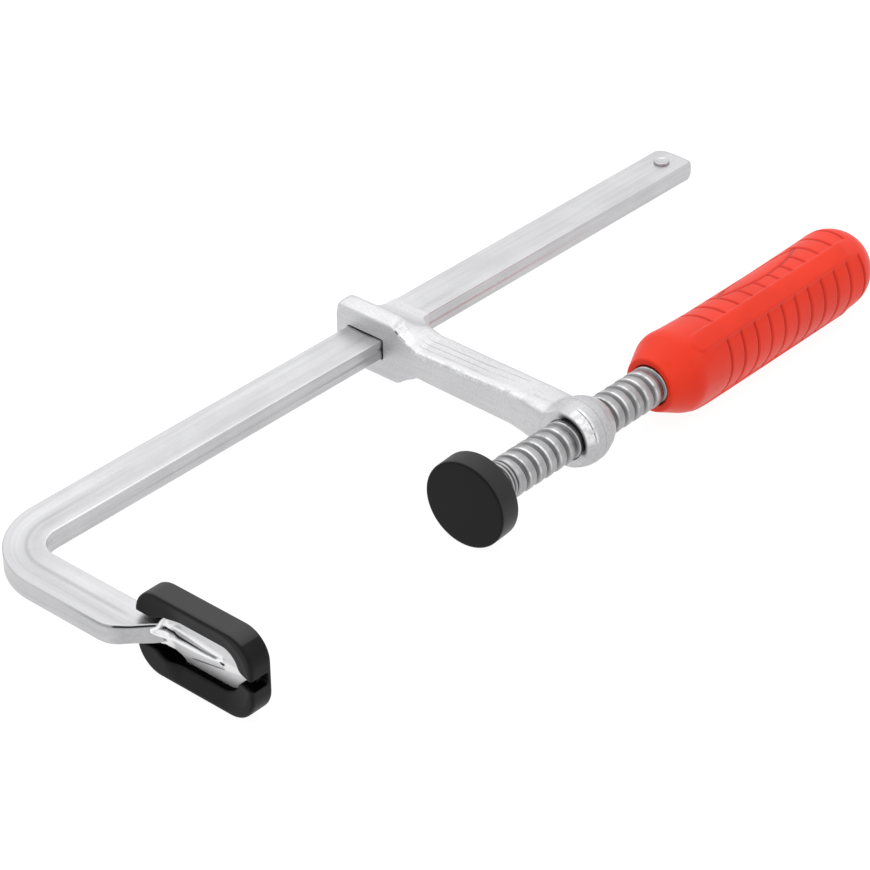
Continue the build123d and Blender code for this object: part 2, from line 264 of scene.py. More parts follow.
def end_drop(inwards):
    """How far the free end falls back from its crown, at a distance in from the outer edge."""
    drop = end_crown * ((inwards - bar_width / 2) / (bar_width / 2))**2
    for radius, reach in ((end_far_corner, inwards), (end_near_corner, bar_width - inwards)):
        drop += radius - np.sqrt(radius**2 - np.clip(radius - reach, 0, radius)**2)
    return drop


def bar_ring(outer, inner, along, squeeze=0.0, rounding=0.0, **section):
    """One ring of the rail between its outer and inner points, with its way along, its painted shade and its
    painted highlight.
    """
    loop = bar_loop(**section)
    share = loop[:, :1] / bar_width
    place = np.array(outer) * (1 - share) + np.array(inner) * share
    place[:, 0] -= end_drop(loop[:, 0]) * rounding
    points = np.column_stack([place, loop[:, 1] * (1 - squeeze)])
    flow = np.column_stack([np.full(len(loop), along), loop[:, 0], loop[:, 1]])
    return points, flow, loop[:, 2]


# The bar, from its free end along the straight, round the bend and down to the heel's bevel
rail_rings = []
edge_turn = end_edge * (1 - np.cos(np.linspace(0, math.pi / 2, edge_rings)))
for back in np.concatenate([edge_turn, np.linspace(end_edge, end_run, end_rings)[1:]]):
    lift = max(0.0, end_edge - back)
    grown = smooth_step(back, 0, end_run)
    tip = bar_end + end_dome * (1 - grown) - back
    rail_rings.append(bar_ring(
        (tip, bar_outer), (tip, bar_inner), back, rounding=1 - grown,
        squeeze=end_edge_share * (1 - math.sqrt(1 - (lift / end_edge)**2)),
        trough=straight_trough * grown, edge_line=edge_line_depth * smooth_step(back, 0, edge_line_run)))
bar_start = bar_end - end_run
outer_centre = np.array((arm_outer + bend_outer_radius, bar_outer - bend_outer_radius))
inner_centre = np.array((arm_inner + bend_inner_radius, bar_inner - bend_inner_radius))
# Near the bend the bar's inner edge is painted pale as a highlight, fading out along the straight.
for share in np.linspace(0, 1, straight_rings)[1:]:
    outer_x = between((bar_start, outer_centre[0]), share)
    bent = 1 - smooth_step(outer_x, *trough_fade)
    rail_rings.append(bar_ring(
        (outer_x, bar_outer), (between((bar_start, inner_centre[0]), share), bar_inner), bar_end - outer_x,
        trough=between((straight_trough, bent_trough), bent),
        wear=edge_wear * (1 - smooth_step(outer_x, *edge_wear_fade)), stripe=stripe_shade * bent,
        edge_line=edge_line_depth * smooth_step(bar_end - outer_x, 0, edge_line_run)))
bend_along = bar_end - outer_centre[0]
bend_middle = (bend_outer_radius + bend_inner_radius) / 2
for angle in np.linspace(0, math.pi / 2, bend_rings)[1:]:
    way = np.array((-math.sin(angle), math.cos(angle)))
    rail_rings.append(bar_ring(
        outer_centre + bend_outer_radius * way, inner_centre + bend_inner_radius * way,
        bend_along + bend_middle * angle, trough=bent_trough, wear=edge_wear, stripe=stripe_shade))
arm_along = bend_along + bend_middle * math.pi / 2
for share in np.linspace(0, 1, jaw_arm_rings)[1:]:
    outer_y = between((outer_centre[1], heel_top), share)
    rail_rings.append(bar_ring(
        (arm_outer, outer_y), (arm_inner, between((inner_centre[1], heel_top), share)),
        arm_along + outer_centre[1] - outer_y, trough=bent_trough, wear=edge_wear, stripe=stripe_shade,
        seam=seam_thin_share * (1 - smooth_step(outer_y, heel_top, heel_top + seam_run))))
bevel_slope = (bevel_foot[0] - arm_outer) / (heel_bend - bevel_foot[1])
for height in np.linspace(heel_top, bevel_end, heel_rings)[1:]:
    cut = np.logaddexp(0, bevel_slope * (heel_bend - height) / heel_softness) * heel_softness
    seam = between((1.0, seam_thin_share), smooth_step(height, seam_span[1] - seam_soft, seam_span[1]))
    seam *= smooth_step(height, seam_span[0], seam_span[0] + seam_soft)
    # Down the heel the seam's crease, the root's notch and the bevel's wall are painted darker as shade.
    rail_rings.append(bar_ring(
        (arm_outer, height), (arm_inner, height), arm_along + outer_centre[1] - height, cut=cut, seam=seam,
        trough=bent_trough * smooth_step(height, bevel_foot[1] + heel_margin, heel_bend - heel_margin),
        edge_line=edge_line_depth * smooth_step(height, heel_bend - heel_line_run, heel_bend),
        root=1 - smooth_step(height, root_start - root_run, root_start),
        stripe=stripe_shade * smooth_step(height, heel_stripe_start, heel_top),
        shade=heel_shade * (1 - smooth_step(height, *heel_shade_span))))
rail_shell = new_shell()
add_tube(rail_shell, *[list(part) for part in zip(*rail_rings)])

# The plate under the cap, with the rib along its back, the root that turns into it and the root's lip
plate_front = -1.6
plate_back = -3.9
plate_low = -13.0
plate_high = 28.2
plate_half = 11.5
plate_squareness = 0.32
plate_grid = (181, 161)
rib_root = 22.8
rib_tip = -0.6
rib_tip_run = 0.9
rib_lower_tip = 0.3
rib_lower_spread = 1.45
rib_lower_run = 4.0
rib_upper_tip = 1.0
rib_upper_spread = 2.0
rib_upper_run = 19.0
rib_upper_foot = 0.8
rib_trough_share = 0.3
rib_crest = (1.15, 0.8)
rib_floor = 0.2
rib_passes = 3
trough_notch = 1.2
foot_tip = 3.4
foot_slope = 0.18
root_lift = 1.75
root_span = (17.5, 21.2)
root_turn = (17.0, 23.5)
root_bend = 2.9
root_reach = (3.8, 5.6)
root_middle = 1.0
root_foot = (23.46, -2.9)
root_fall = 0.52
root_edge_soft = (-0.3, 0.1)
lip_foot = 20.8
lip_start = (-8.8, 24.3, 1.26)
lip_turn = (-7.2, 22.77, 2.14)
lip_rise = (-6.3, 21.85, 4.2)
lip_end = (-5.3, 20.9, 5.9)
lip_edge_soft = (-0.2, 0.1)
lip_sink = 1.2

plate_middle = (plate_low + plate_high) / 2
plate_reach = (plate_high - plate_low) / 2
grid_up, grid_side = np.meshgrid(*[np.linspace(-1, 1, count) for count in plate_grid], indexing="ij")
plate_y = plate_middle + plate_reach * grid_up * np.sqrt(1 - plate_squareness * grid_side**2)
plate_z = plate_half * grid_side * np.sqrt(1 - plate_squareness * grid_up**2)
rib_share = np.clip((rib_root - plate_y) / (rib_root - rib_tip), 0, 1)
lower = -rib_lower_tip - rib_lower_spread * (1 - np.exp(-np.clip(plate_y, 0, None) / rib_lower_run))
upper = rib_upper_tip + rib_upper_spread * smooth_step(plate_y, 0, rib_upper_run)
middle = lower + (upper - lower) * rib_trough_share + root_bend * smooth_step(plate_y, *root_turn)
foot = -foot_tip - foot_slope * plate_y
crest = between(rib_crest, rib_share)
rib_lift = np.minimum(crest * np.clip((plate_z - foot) / (lower - foot), 0, 1),
                      crest * np.clip((upper + rib_upper_foot - plate_z) / rib_upper_foot, 0, 1))
valley_share = np.where(plate_z < middle, (middle - plate_z) / (middle - lower),
                        (plate_z - middle) / (upper - middle))
rib_lift = np.minimum(rib_lift, rib_floor + (crest - rib_floor) * np.clip(valley_share, 0, 1))
root_edge = root_foot[1] - root_fall * (root_foot[0] - plate_y)
root_cover = smooth_step(plate_z - root_edge, *root_edge_soft)
root_cover *= 1 - smooth_step(plate_z - root_middle, *root_reach)
root_cover *= root_lift * smooth_step(plate_y, *root_span) + np.clip(plate_y - bevel_foot[1], 0, None)
lip_corners = (lip_start, lip_turn, lip_rise, lip_end)
lip_across = np.interp(plate_z, [root_foot[1]] + [corner[2] for corner in lip_corners],
                       [lip_foot] + [corner[1] for corner in lip_corners])
lip_across = np.where(plate_z < root_foot[1], root_foot[0], lip_across)
root_cover *= 1 - smooth_step(plate_y - lip_across, *lip_edge_soft)
trough_cut = np.clip(trough_notch * (1 - np.abs(plate_z - middle) / rib_upper_foot), 0, 1)
rib_lift = np.maximum(rib_lift * smooth_step(plate_y, rib_tip - rib_tip_run, rib_tip),
                      root_cover - trough_cut)
for _ in range(rib_passes):
    rib_lift[:, 1:-1] = (rib_lift[:, :-2] + 2 * rib_lift[:, 1:-1] + rib_lift[:, 2:]) / 4

# Where the rib's crests and root are painted bright as highlights over a paler finish, and where painted
# shade and shadow darken its trough, tip, foot, the hole under the lip, the plate past the lip and the notch
rib_wear_soft = 0.3
lower_wear_half = 0.6
upper_wear_half = 0.65
root_wear_span = (19.5, 21.0)
root_wear_edge = (-0.7, -0.3)
wear_gain = 1.3
plain_wear_shares = (0.8, 0.3)
plain_wear_edge = (-0.5, 0.5)
far_wear_share = 0.5
far_wear_edge = (-0.3, 0.6)
trough_half_span = (0.5, 1.0)
trough_half_run = (13.0, 20.0)
trough_shade_gain = 1.5
trough_shade_shares = (0.62, 1.0)
trough_shade_run = (6.0, 12.0)
trough_shade_start = (1.5, 3.0)
spot_place = (-0.2, -1.3)
spot_size = 0.7
spot_edge_shares = (0.7, 1.3)
spot_sink = 0.35
foot_shade_share = 0.4
foot_shade_half = 0.2
foot_shade_start = (-1.0, 0.0)
foot_shade_end = (9.0, 14.0)
hole_edge = (0.1, 0.5)
hole_fade = (14.5, 17.5)
lip_shadow_run = 0.3
notch_shadow_fade = (-12.2, -11.6)
least_shade = 0.08

# The rib's crests and the root's edge are painted pale as highlights, over a paler finish across the plate.
on_rib = smooth_step(plate_y, rib_tip - rib_wear_soft, rib_tip + rib_wear_soft)
worn = hump(plate_z, lower, lower_wear_half) + hump(plate_z, upper, upper_wear_half)
worn += smooth_step(plate_y, *root_wear_span) * smooth_step(plate_z - lower, *root_wear_edge)
plain_wear = between(plain_wear_shares, smooth_step(plate_z - lower, *plain_wear_edge))
plain_wear *= 1 - far_wear_share * smooth_step(foot - plate_z, *far_wear_edge)
worn = np.clip(wear_gain * worn * on_rib, plain_wear, 1)
# Painted shade darkens the rib's trough and the line along its foot, and a painted shadow blackens the pit
# at its tip.
trough_half = between(trough_half_span, smooth_step(plate_y, *trough_half_run))
trough_shade = np.clip(trough_shade_gain * (1 - np.abs(plate_z - middle) / trough_half), 0, 1)
trough_shade *= between(trough_shade_shares, smooth_step(plate_y, *trough_shade_run))
trough_shade *= smooth_step(plate_y, *trough_shade_start)
spot = np.hypot(plate_y - spot_place[0], plate_z - spot_place[1]) / spot_size
spot = 1 - smooth_step(spot, *spot_edge_shares)
foot_shade = foot_shade_share * hump(plate_z, foot, foot_shade_half)
foot_shade *= soft_span(plate_y, foot_shade_start, foot_shade_end)
# Painted shadow blackens the hole under the lower lip, the plate past the root's lip and the plate's end
# seen in the cap's notch.
hole = smooth_step(root_edge - plate_z, *hole_edge) * smooth_step(plate_y, *hole_fade)
beyond = smooth_step(plate_y - lip_across, 0, lip_shadow_run) * (plate_z > 0)
in_notch = 1 - smooth_step(plate_y, *notch_shadow_fade)
rib_shade_highlight_and_wear = np.max([trough_shade, spot, foot_shade, hole, beyond, in_notch], axis=0)
rib_shade_highlight_and_wear = np.where(rib_shade_highlight_and_wear > least_shade, rib_shade_highlight_and_wear, -worn)
plate_x = plate_back - rib_lift * (1 - beyond) + spot_sink * spot + lip_sink * np.maximum(beyond, hole)
plate_rows = [
    add_points(rail_shell, np.column_stack(row[:3]), np.column_stack([row[1], row[2], row[0]]), row[3])
    for row in zip(plate_x, plate_y, plate_z, rib_shade_highlight_and_wear)
]
for low, high in zip(plate_rows, plate_rows[1:]):
    for step in range(len(low) - 1):
        rail_shell.faces.new((low[step], low[step + 1], high[step + 1], high[step]))
rim = plate_rows[0] + [row[-1] for row in plate_rows[1:]] + plate_rows[-1][-2::-1]
rim += [row[0] for row in plate_rows[-2:0:-1]]
front_rim = add_points(rail_shell, [(plate_front, vert.co.y / mm, vert.co.z / mm) for vert in rim])
for step in range(len(rim)):
    rail_shell.faces.new((rim[step - 1], rim[step], front_rim[step], front_rim[step - 1]))
rail_shell.faces.new(front_rim)

# The two beads that edge the root, one down to the rib's lower crest and one along the lip, both painted
# pale as a highlight
bead_turn = (-6.8, 22.8, -0.6)
bead_foot = (-4.85, 20.2, -1.7)
bead_end = (-4.45, 17.8, -1.7)
bead_radius = (0.62, 0.5)
bead_rings = 32
bead_sides = 14
bead_end_rings = 3
bead_blunt_share = 0.97


def add_bead(shell, controls):
    """A round bead with blunt ends along a smooth curve through the control points."""
    controls = np.array(controls, float)
    padded = np.vstack([2 * controls[0] - controls[1], controls, 2 * controls[-1] - controls[-2]])
    path = []
    for share in np.linspace(0, len(controls) - 1, bead_rings):
        knot = min(int(share), len(controls) - 2)
        part = share - knot
        a, b, c, d = padded[knot:knot + 4]
        bend = 2 * a - 5 * b + 4 * c - d + part * (3 * (b - c) + d - a)
        path.append(b + part / 2 * (c - a + part * bend))
    path = np.array(path)
    turns = np.linspace(0, 2 * math.pi, bead_sides, endpoint=False)
    rings, flows = [], []
    for index, (centre, way) in enumerate(zip(path, np.gradient(path, axis=0))):
        share = index / (bead_rings - 1)
        from_end = min(share, 1 - share) * bead_rings
        blunt = bead_blunt_share * max(0.0, 1 - from_end / bead_end_rings)**2
        radius = between(bead_radius, share) * math.sqrt(1 - blunt)
        way = way / np.linalg.norm(way)
        side = np.cross(way, (1.0, 0, 0))
        side /= np.linalg.norm(side)
        up = np.cross(side, way)
        rings.append([centre + radius * (math.cos(t) * side + math.sin(t) * up) for t in turns])
        flows.append([(index, radius * t, 0.0) for t in turns])
    # The beads are painted pale all over as a highlight.
    add_tube(shell, rings, flows, [[-1.0] * bead_sides] * bead_rings)


add_bead(rail_shell, (lip_start, bead_turn, bead_foot, bead_end))
add_bead(rail_shell, lip_corners)
rail = to_piece("rail_forging", rail_shell)

# The plating, which the other steel pieces have too
bar_tones = ((0.45, 0.45, 0.46), (0.56, 0.56, 0.57))
trimmed_and_highlight_tone = (0.74, 0.74, 0.74)
mark_tone = (0.05, 0.05, 0.052)
worn_and_highlight_tone = (0.88, 0.88, 0.885)
painted_shade_tone = (0.012, 0.012, 0.014)
noise_middle = 0.5
noise_range = (0.3, 0.7)
streak_detail = 4.0
fine_detail = 2.0
plate_cloud_scale = 60.0
plate_cloud_range = (0.35, 0.65)
plate_fleck_scale = 1400.0
plate_streak_share = 0.6
plate_cloud_share = 0.4
plain_speckle_share = 0.2
streak_relief_share = 0.6
fleck_relief_share = 0.4
cloud_sheen_share = 0.6
fleck_sheen = 0.08
trimmed_gloss = 0.12
boss_dullness = 0.14
shade_highlight_and_wear_dullness = 0.08
worn_and_highlight_metal_share = 0.75
plate_bump = 0.14
plate_relief = 0.1


class Wire:
    """A node socket that takes part in sums: each operator on it adds one Math node to its tree."""

    # A Mix node's sockets for colours share their names with those for values, so they go by number
    first_colour, last_colour, mixed_colour = 6, 7, 2

    def __init__(self, tree, socket=None):
        self.tree = tree
        self.socket = socket

    def node(self, kind, settings=None, inputs=None, output=0):
        """A new node of that type with its settings, then its sockets, and the asked output."""
        made = self.tree.nodes.new(kind)
        for name, value in (settings or {}).items():
            if name == "stops":
                ramp = made.color_ramp.elements
                for place, _ in value[2:]:
                    ramp.new(place)
                for element, (place, colour) in zip(ramp, value):
                    element.position = place
                    element.color = (*colour, 1)
            else:
                setattr(made, name, value)
        for key, value in (inputs or {}).items():
            if isinstance(value, Wire):
                self.tree.links.new(value.socket, made.inputs[key])
            else:
                made.inputs[key].default_value = value
        return Wire(self.tree, made.outputs[output] if len(made.outputs) else None)

    def math(self, operation, *values):
        return self.node("ShaderNodeMath", {"operation": operation}, dict(enumerate(values)))

    def rise(self, low, high):
        """0 below low and 1 above high, with a soft rise between them."""
        return self.node("ShaderNodeMapRange", {"interpolation_type": "SMOOTHSTEP"},
                         {"Value": self, "From Min": low, "From Max": high})

    def span(self, low, high, soft):
        """1 between low and high, with soft ends."""
        return self.rise(low - soft, low + soft) * (1 - self.rise(high - soft, high + soft))

    def near(self, low, high):
        """1 where this is within low of 0 and 0 beyond high, on both sides."""
        return 1 - abs(self).rise(low, high)

    def swing(self):
        """Noise, or a share of a turn, moved so that it swings about 0."""
        return self - noise_middle

    def most(self, other):
        return self.math("MAXIMUM", self, other)

    def least(self, other):
        return self.math("MINIMUM", self, other)

    def diagonal(self, other):
        """The length of the slope over this side and another."""
        return (self * self + other * other)**0.5

    def place(self):
        """Where a point of the surface lies in the frame."""
        return self.node("ShaderNodeTexCoord", output="Object")

    def kept(self, name, output="Fac"):
        """A value that the mesh keeps for each of its points."""
        return self.node("ShaderNodeAttribute", {"attribute_name": name}, output=output)

    def parts(self):
        """The three parts of a vector, in millimetres."""
        split = self.node("ShaderNodeSeparateXYZ", inputs={"Vector": self}).socket.node
        return [Wire(self.tree, output) * (1 / mm) for output in split.outputs]

    def mix(self, first, last):
        """A colour between two, where this value is the share of the last."""
        pair = [colour if isinstance(colour, Wire) else (*colour, 1) for colour in (first, last)]
        return self.node("ShaderNodeMix", {"data_type": "RGBA"}, {
            0: self, self.first_colour: pair[0], self.last_colour: pair[1]}, output=self.mixed_colour)

    def noise(self, scale, detail=3.0):
        """Soft noise over the points that this vector gives."""
        return self.node("ShaderNodeTexNoise", inputs={"Vector": self, "Scale": scale, "Detail": detail})

    def stretched(self, scale):
        return self.node("ShaderNodeMapping", inputs={"Vector": self, "Scale": scale})

    def bump(self, strength, depth):
        """The surface's normal, bent as if this were its height, of that depth in millimetres."""
        return self.node("ShaderNodeBump", inputs={
            "Strength": strength, "Distance": depth * mm, "Height": self})

    def __abs__(self):
        return self.math("ABSOLUTE", self)

    def __add__(self, other):
        return self.math("ADD", self, other)

    def __radd__(self, other):
        return self.math("ADD", other, self)

    def __sub__(self, other):
        return self.math("SUBTRACT", self, other)

    def __rsub__(self, other):
        return self.math("SUBTRACT", other, self)

    def __mul__(self, other):
        return self.math("MULTIPLY", self, other)

    def __rmul__(self, other):
        return self.math("MULTIPLY", other, self)

    def __truediv__(self, other):
        return self.math("DIVIDE", self, other)

    def __pow__(self, other):
        return self.math("POWER", self, other)


def new_material(name, **constants):
    """A new material, a wire to start its tree from, and its main shader with its constant values."""
    material = bpy.data.materials.new(name)
    material.use_nodes = True
    shader = material.node_tree.nodes["Principled BSDF"]
    for label, value in constants.items():
        shader.inputs[label.replace("_", " ").title().replace("Ior", "IOR")].default_value = value
    return material, Wire(material.node_tree), shader


def feed(material, shader, **values):
    """Links what changes over the surface to the shader."""
    for label, value in values.items():
        material.node_tree.links.new(value.socket, shader.inputs[label.replace("_", " ").title()])


def plated_steel(name, streaks, tones, dull, sheen, flow=False, marks=None, speckle=plain_speckle_share):
    """Bright plate over steel with fine streaks, painted shade down in its creases, a paler finish and
    painted highlights where the value is below 0, and any special marks.
    """
    material, tree, shader = new_material(name)
    place = tree.kept("flow", "Vector") if flow else tree.place()
    grain = place.stretched(streaks).noise(1.0, streak_detail)
    cloud = place.noise(plate_cloud_scale)
    fleck = place.noise(plate_fleck_scale, fine_detail)
    plain = grain.rise(*noise_range) * plate_streak_share
    plain = plain + cloud.rise(*plate_cloud_range) * plate_cloud_share
    tone = (plain * (1 - speckle) + fleck.rise(*noise_range) * speckle).mix(*tones)
    rough = dull + sheen * grain.swing() + cloud_sheen_share * sheen * cloud.swing()
    rough = rough + fleck_sheen * fleck.swing()
    height = grain * streak_relief_share + fleck * (fleck_relief_share + speckle)
    if marks:
        bright, dark, relief, matte = marks(tree.place())
        tone = dark.mix(bright.mix(tone, trimmed_and_highlight_tone), mark_tone)
        rough = rough - trimmed_gloss * bright + boss_dullness * matte
        height = height + relief
    # Points above 0 are painted darker as shade; points below 0 take a paler, less metallic finish, which on
    # the rib, its beads and the bar's inner edge is a painted highlight.
    grime = tree.kept("grime")
    tone = grime.mix((0 - grime).mix(tone, worn_and_highlight_tone), painted_shade_tone)
    rough = rough + shade_highlight_and_wear_dullness * abs(grime)
    metal = 1 - worn_and_highlight_metal_share * (0 - grime).most(0)
    feed(material, shader, base_color=tone, roughness=rough, metallic=metal,
         normal=height.bump(plate_bump, plate_relief))
    return material


rail.data.materials.append(plated_steel(
    "plated_bar", streaks=(25.0, 700.0, 700.0), tones=bar_tones, dull=0.36, sheen=0.12, flow=True))
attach(rail, "rail_body")
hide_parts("rail")


# End stop
# A steel rivet through the bar near its free end, upset at both ends. Its heads stand above the wide
# faces, so the sliding arm's collar can't pass them.
stop_low, stop_high = [np.array(corner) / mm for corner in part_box("end_stop_pin")]
stop_x = (stop_low[0] + stop_high[0]) / 2
stop_radius = (stop_high[0] - stop_low[0]) / 2
stop_seat = 3.0
stop_rise = 1.5
stop_shank = 2.0
stop_dish = 0.3
stop_dish_inset = 1.5
stop_dish_bend = 0.8
stop_edge = 0.35
stop_rim_bend = 0.15
stop_fillet = 0.1
stop_sides = 48
stop_shade_share = 0.6
stop_shade_skin = 0.3
stop_shade_top = 0.6
axis_radius = 0.01
arc_points = 9


def lathe_rings(outline, sides):
    """Rings about X through an outline of X and radius."""
    turns = np.linspace(0, 2 * math.pi, sides, endpoint=False)
    return [[(x, radius * math.cos(turn), radius * math.sin(turn)) for turn in turns]
            for x, radius in outline]


def rounded(corners):
    """An outline of X and radius whose corners with a bend are turned into short arcs."""
    points = []
    for index, (x, radius, bend) in enumerate(corners):
        here = np.array((x, radius))
        if not bend:
            points.append((x, radius))
            continue
        before = np.array(corners[index - 1][:2]) - here
        after = np.array(corners[index + 1][:2]) - here
        before /= np.linalg.norm(before)
        after /= np.linalg.norm(after)
        half = math.acos(np.clip(before @ after, -1, 1)) / 2
        reach = bend / math.tan(half)
        first, last = here + before * reach, here + after * reach
        for share in np.linspace(0, 1, arc_points):
            low = first + (here - first) * share
            high = here + (last - here) * share
            points.append(tuple(low + (high - low) * share))
    return points


def turned(name, outline, sides, place=None):
    """A piece turned about X from its outline, which starts and ends at the axis."""
    shell = new_shell()
    add_tube(shell, lathe_rings(outline, sides))
    return to_piece(name, shell, place)


stop_top = stop_seat + stop_rise
stop_half = rounded([
    (0, stop_shank, 0), (stop_seat, stop_shank, stop_fillet), (stop_seat, stop_radius, stop_rim_bend),
    (stop_top, stop_radius - stop_edge, stop_edge),
    (stop_top - stop_dish, stop_radius - stop_dish_inset, stop_dish_bend),
    (stop_top - stop_dish, axis_radius, 0),
])
stop_outline = [(-x, radius) for x, radius in stop_half[:0:-1]] + stop_half
stop_place = (Matrix.Translation((stop_x * mm, bar_centre * mm, 0))
              @ Matrix.Rotation(-math.pi / 2, 4, "Y"))
stop = turned("end_stop", stop_outline, stop_sides, stop_place)
for vertex, grime in zip(stop.data.vertices, stop.data.attributes["grime"].data):
    # The rivet's side wall is painted darker as shade, up to a little below its top.
    reach = math.hypot(vertex.co.x / mm - stop_x, vertex.co.y / mm - bar_centre)
    on_side = reach > stop_radius - stop_shade_skin and abs(vertex.co.z) / mm < stop_top - stop_shade_top
    grime.value = stop_shade_share if on_side else 0.0
stop.data.materials.append(plated_steel(
    "plated_rivet", streaks=(300.0, 300.0, 300.0), tones=bar_tones, dull=0.30, sheen=0.1))
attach(stop, "rail_body")
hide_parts("end_stop_pin")


# Fixed jaw cap
# A black moulded pan that snaps over the jaw's plate. Its lips hold behind the plate, with an entry
# for the arm at one end and a small notch at the other.
cap_voxel = 0.3
cap_passes = 3
cap_back = -8.2
cap_opening = 7.7
cap_opening_end = -9.2
cap_opening_edge = 0.3
cap_notch = 2.1
cap_recess_start = (-7.9, -7.0)
cap_recess_end = (-2.6, -1.8)
cap_side = 12.5
cap_lit_turn = (0.6, 0.95)
cap_dish = 1.25
cap_dish_run = 5.2
cap_dish_start = 5.0
cap_corner = 6.5
cap_entry = (13.0, 20.0)
cad_weld = 0.001
relax_share = 0.5
hollow_rounds = 8
moulding_cloud_scale = 45.0
moulding_cloud_sheen = 0.1
moulding_grain_sheen = 0.08
moulding_recess_dullness = 0.5
moulding_bump = 0.2


def relax(mesh, passes, weigh=None):
    """Moves each point towards the middle of its neighbours, in full or by the weight of its place."""
    points = np.empty(3 * len(mesh.vertices))
    mesh.vertices.foreach_get("co", points)
    points = points.reshape(-1, 3)
    edges = np.empty(2 * len(mesh.edges), int)
    mesh.edges.foreach_get("vertices", edges)
    edges = edges.reshape(-1, 2)
    ends = np.concatenate([edges, edges[:, ::-1]])
    degree = np.bincount(ends[:, 0], minlength=len(points))[:, None]
    weight = weigh(points / mm)[:, None] if weigh else 1.0
    for _ in range(passes):
        total = np.column_stack([np.bincount(ends[:, 0], points[ends[:, 1], axis], len(points))
                                 for axis in range(3)])
        points += relax_share * weight * (total / degree - points)
    mesh.vertices.foreach_set("co", points.ravel())
    mesh.update()


def softened(name, node, voxel, passes, hollow=None):
    """A copy of a CAD node with its edges rounded a little, and more so where hollow gives weight."""
    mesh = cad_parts[node].data.copy()
    mesh.materials.clear()
    solid = bmesh.new()
    solid.from_mesh(mesh)
    bmesh.ops.remove_doubles(solid, verts=solid.verts, dist=cad_weld * mm)
    solid.to_mesh(mesh)
    solid.free()
    piece = link(name, mesh)
    rebuilt = piece.modifiers.new("rebuilt", "REMESH")
    rebuilt.mode = "VOXEL"
    rebuilt.voxel_size = voxel * mm
    rebuilt.use_smooth_shade = True
    result = piece.evaluated_get(bpy.context.evaluated_depsgraph_get())
    made = bpy.data.meshes.new_from_object(result)
    piece.modifiers.clear()
    piece.data = made
    relax(made, passes)
    if hollow:
        relax(made, hollow_rounds * passes, hollow)
    return piece


def moulded_plastic(name, deep, light, crease_shade_tone, painted_light_tone, dull, gloss, grain_scale, grain_depth, recess=0.0):
    """A moulded plastic with a faint grain, painted darker as shade in its creases and paler as painted
    light where their value is below 0.
    """
    material, tree, shader = new_material(name, specular_ior_level=gloss)
    place = tree.place()
    cloud = place.noise(moulding_cloud_scale)
    grain = place.noise(grain_scale, fine_detail)
    crease = tree.kept("crease")
    # Painted shade darkens the creases and painted light makes points below 0 paler; in a recess the painted
    # shadow also turns the shader into a near black metal.
    shade = crease.mix((0 - crease).mix(cloud.rise(*noise_range).mix(deep, light), painted_light_tone), crease_shade_tone)
    recess_shadow = recess * crease.most(0)
    rough = dull + moulding_cloud_sheen * cloud.swing() + moulding_grain_sheen * grain.swing()
    rough = rough + moulding_recess_dullness * recess_shadow
    feed(material, shader, base_color=shade, roughness=rough, metallic=recess_shadow,
         normal=grain.bump(moulding_bump, grain_depth))
    return material


cap = softened("jaw_cap", "fixed_jaw_cap", cap_voxel, cap_passes)
cap_shade = cap.data.attributes.new("crease", "FLOAT", "POINT")
for vertex, turn, shade in zip(cap.data.vertices, [vertex.normal.copy() for vertex in cap.data.vertices],
                               cap_shade.data):
    # Inside the opening and the notch the cap's recess is painted black as shadow, and its outer faces
    # turned up and down are painted paler as light.
    x, y, z = vertex.co / mm
    in_opening = abs(z) < cap_opening + cap_opening_edge and y > cap_opening_end - cap_opening_edge
    if abs(z) < cap_notch or in_opening:
        shade.value = float(soft_span(x, cap_recess_start, cap_recess_end))
    elif abs(z) > cap_side:
        shade.value = -float(smooth_step(abs(turn.z), *cap_lit_turn))
    from_opening = math.hypot(max(abs(z) - cap_opening + cap_corner, 0),
                              max(cap_opening_end + cap_corner - y, 0)) - cap_corner
    dish = cap_dish * min(max(1 - from_opening / cap_dish_run, 0), 1) * (1 - smooth_step(y, *cap_entry))
    vertex.co.x += float(dish * smooth_step(-x, cap_dish_start, -cap_back)) * mm
cap.data.materials.append(moulded_plastic(
    "black_moulding", deep=(0.0028, 0.0028, 0.0032), light=(0.004, 0.004, 0.0045),
    crease_shade_tone=(0.002, 0.002, 0.002), painted_light_tone=(0.036, 0.036, 0.037), dull=0.44, gloss=0.14,
    grain_scale=2200.0, grain_depth=0.06, recess=1.0))
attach(cap, "rail_body")
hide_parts("fixed_jaw_cap")


# Sliding arm
# One steel forging, plated: a collar that grips the rail when it cants, a tapered arm, and a barrel
# boss threaded for the spindle. Its edges are trimmed and ground, and keep the marks.
arm_voxel = 0.38
arm_passes = 4
boss_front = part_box("sliding_arm")[0][0] / mm
boss_radius = 11.2
arm_setback = 2.8
arm_front = boss_front + arm_setback
arm_root_y = 64.9
arm_root_half = 5.35
arm_tip_half = 7.45
root_rise = 0.52
boss_blend_half = 3.6
boss_blend_y = (1.0, 5.0)
collar_blend_share = 0.3
collar_blend_middle = 66.0
collar_blend_half = 2.5
collar_blend_x = (1.0, 3.0)
corner_blend_share = 0.8
corner_blend_y = (95.0, 98.0)
corner_blend_z = (6.0, 9.0)
throat_reach = 9.4
throat_half = 1.6
throat_inside = (7.4, 8.2)
throat_y = (3.0, 6.0)
throat_x = (4.0, 6.0)
throat_facing = (0.0, 0.4)
collar_back_x = (150.0, 153.0)
collar_back_y = ((62.0, 66.0), (76.0, 78.5))
shoulder_under_share = 0.6
shoulder_under_z = (4.2, 5.2)
shoulder_under_y = ((61.0, 64.0), (86.0, 90.0))
seam_passes = 24


def shifted(pair, start):
    """A pair of places that are counted from a start."""
    return [start + place for place in pair]


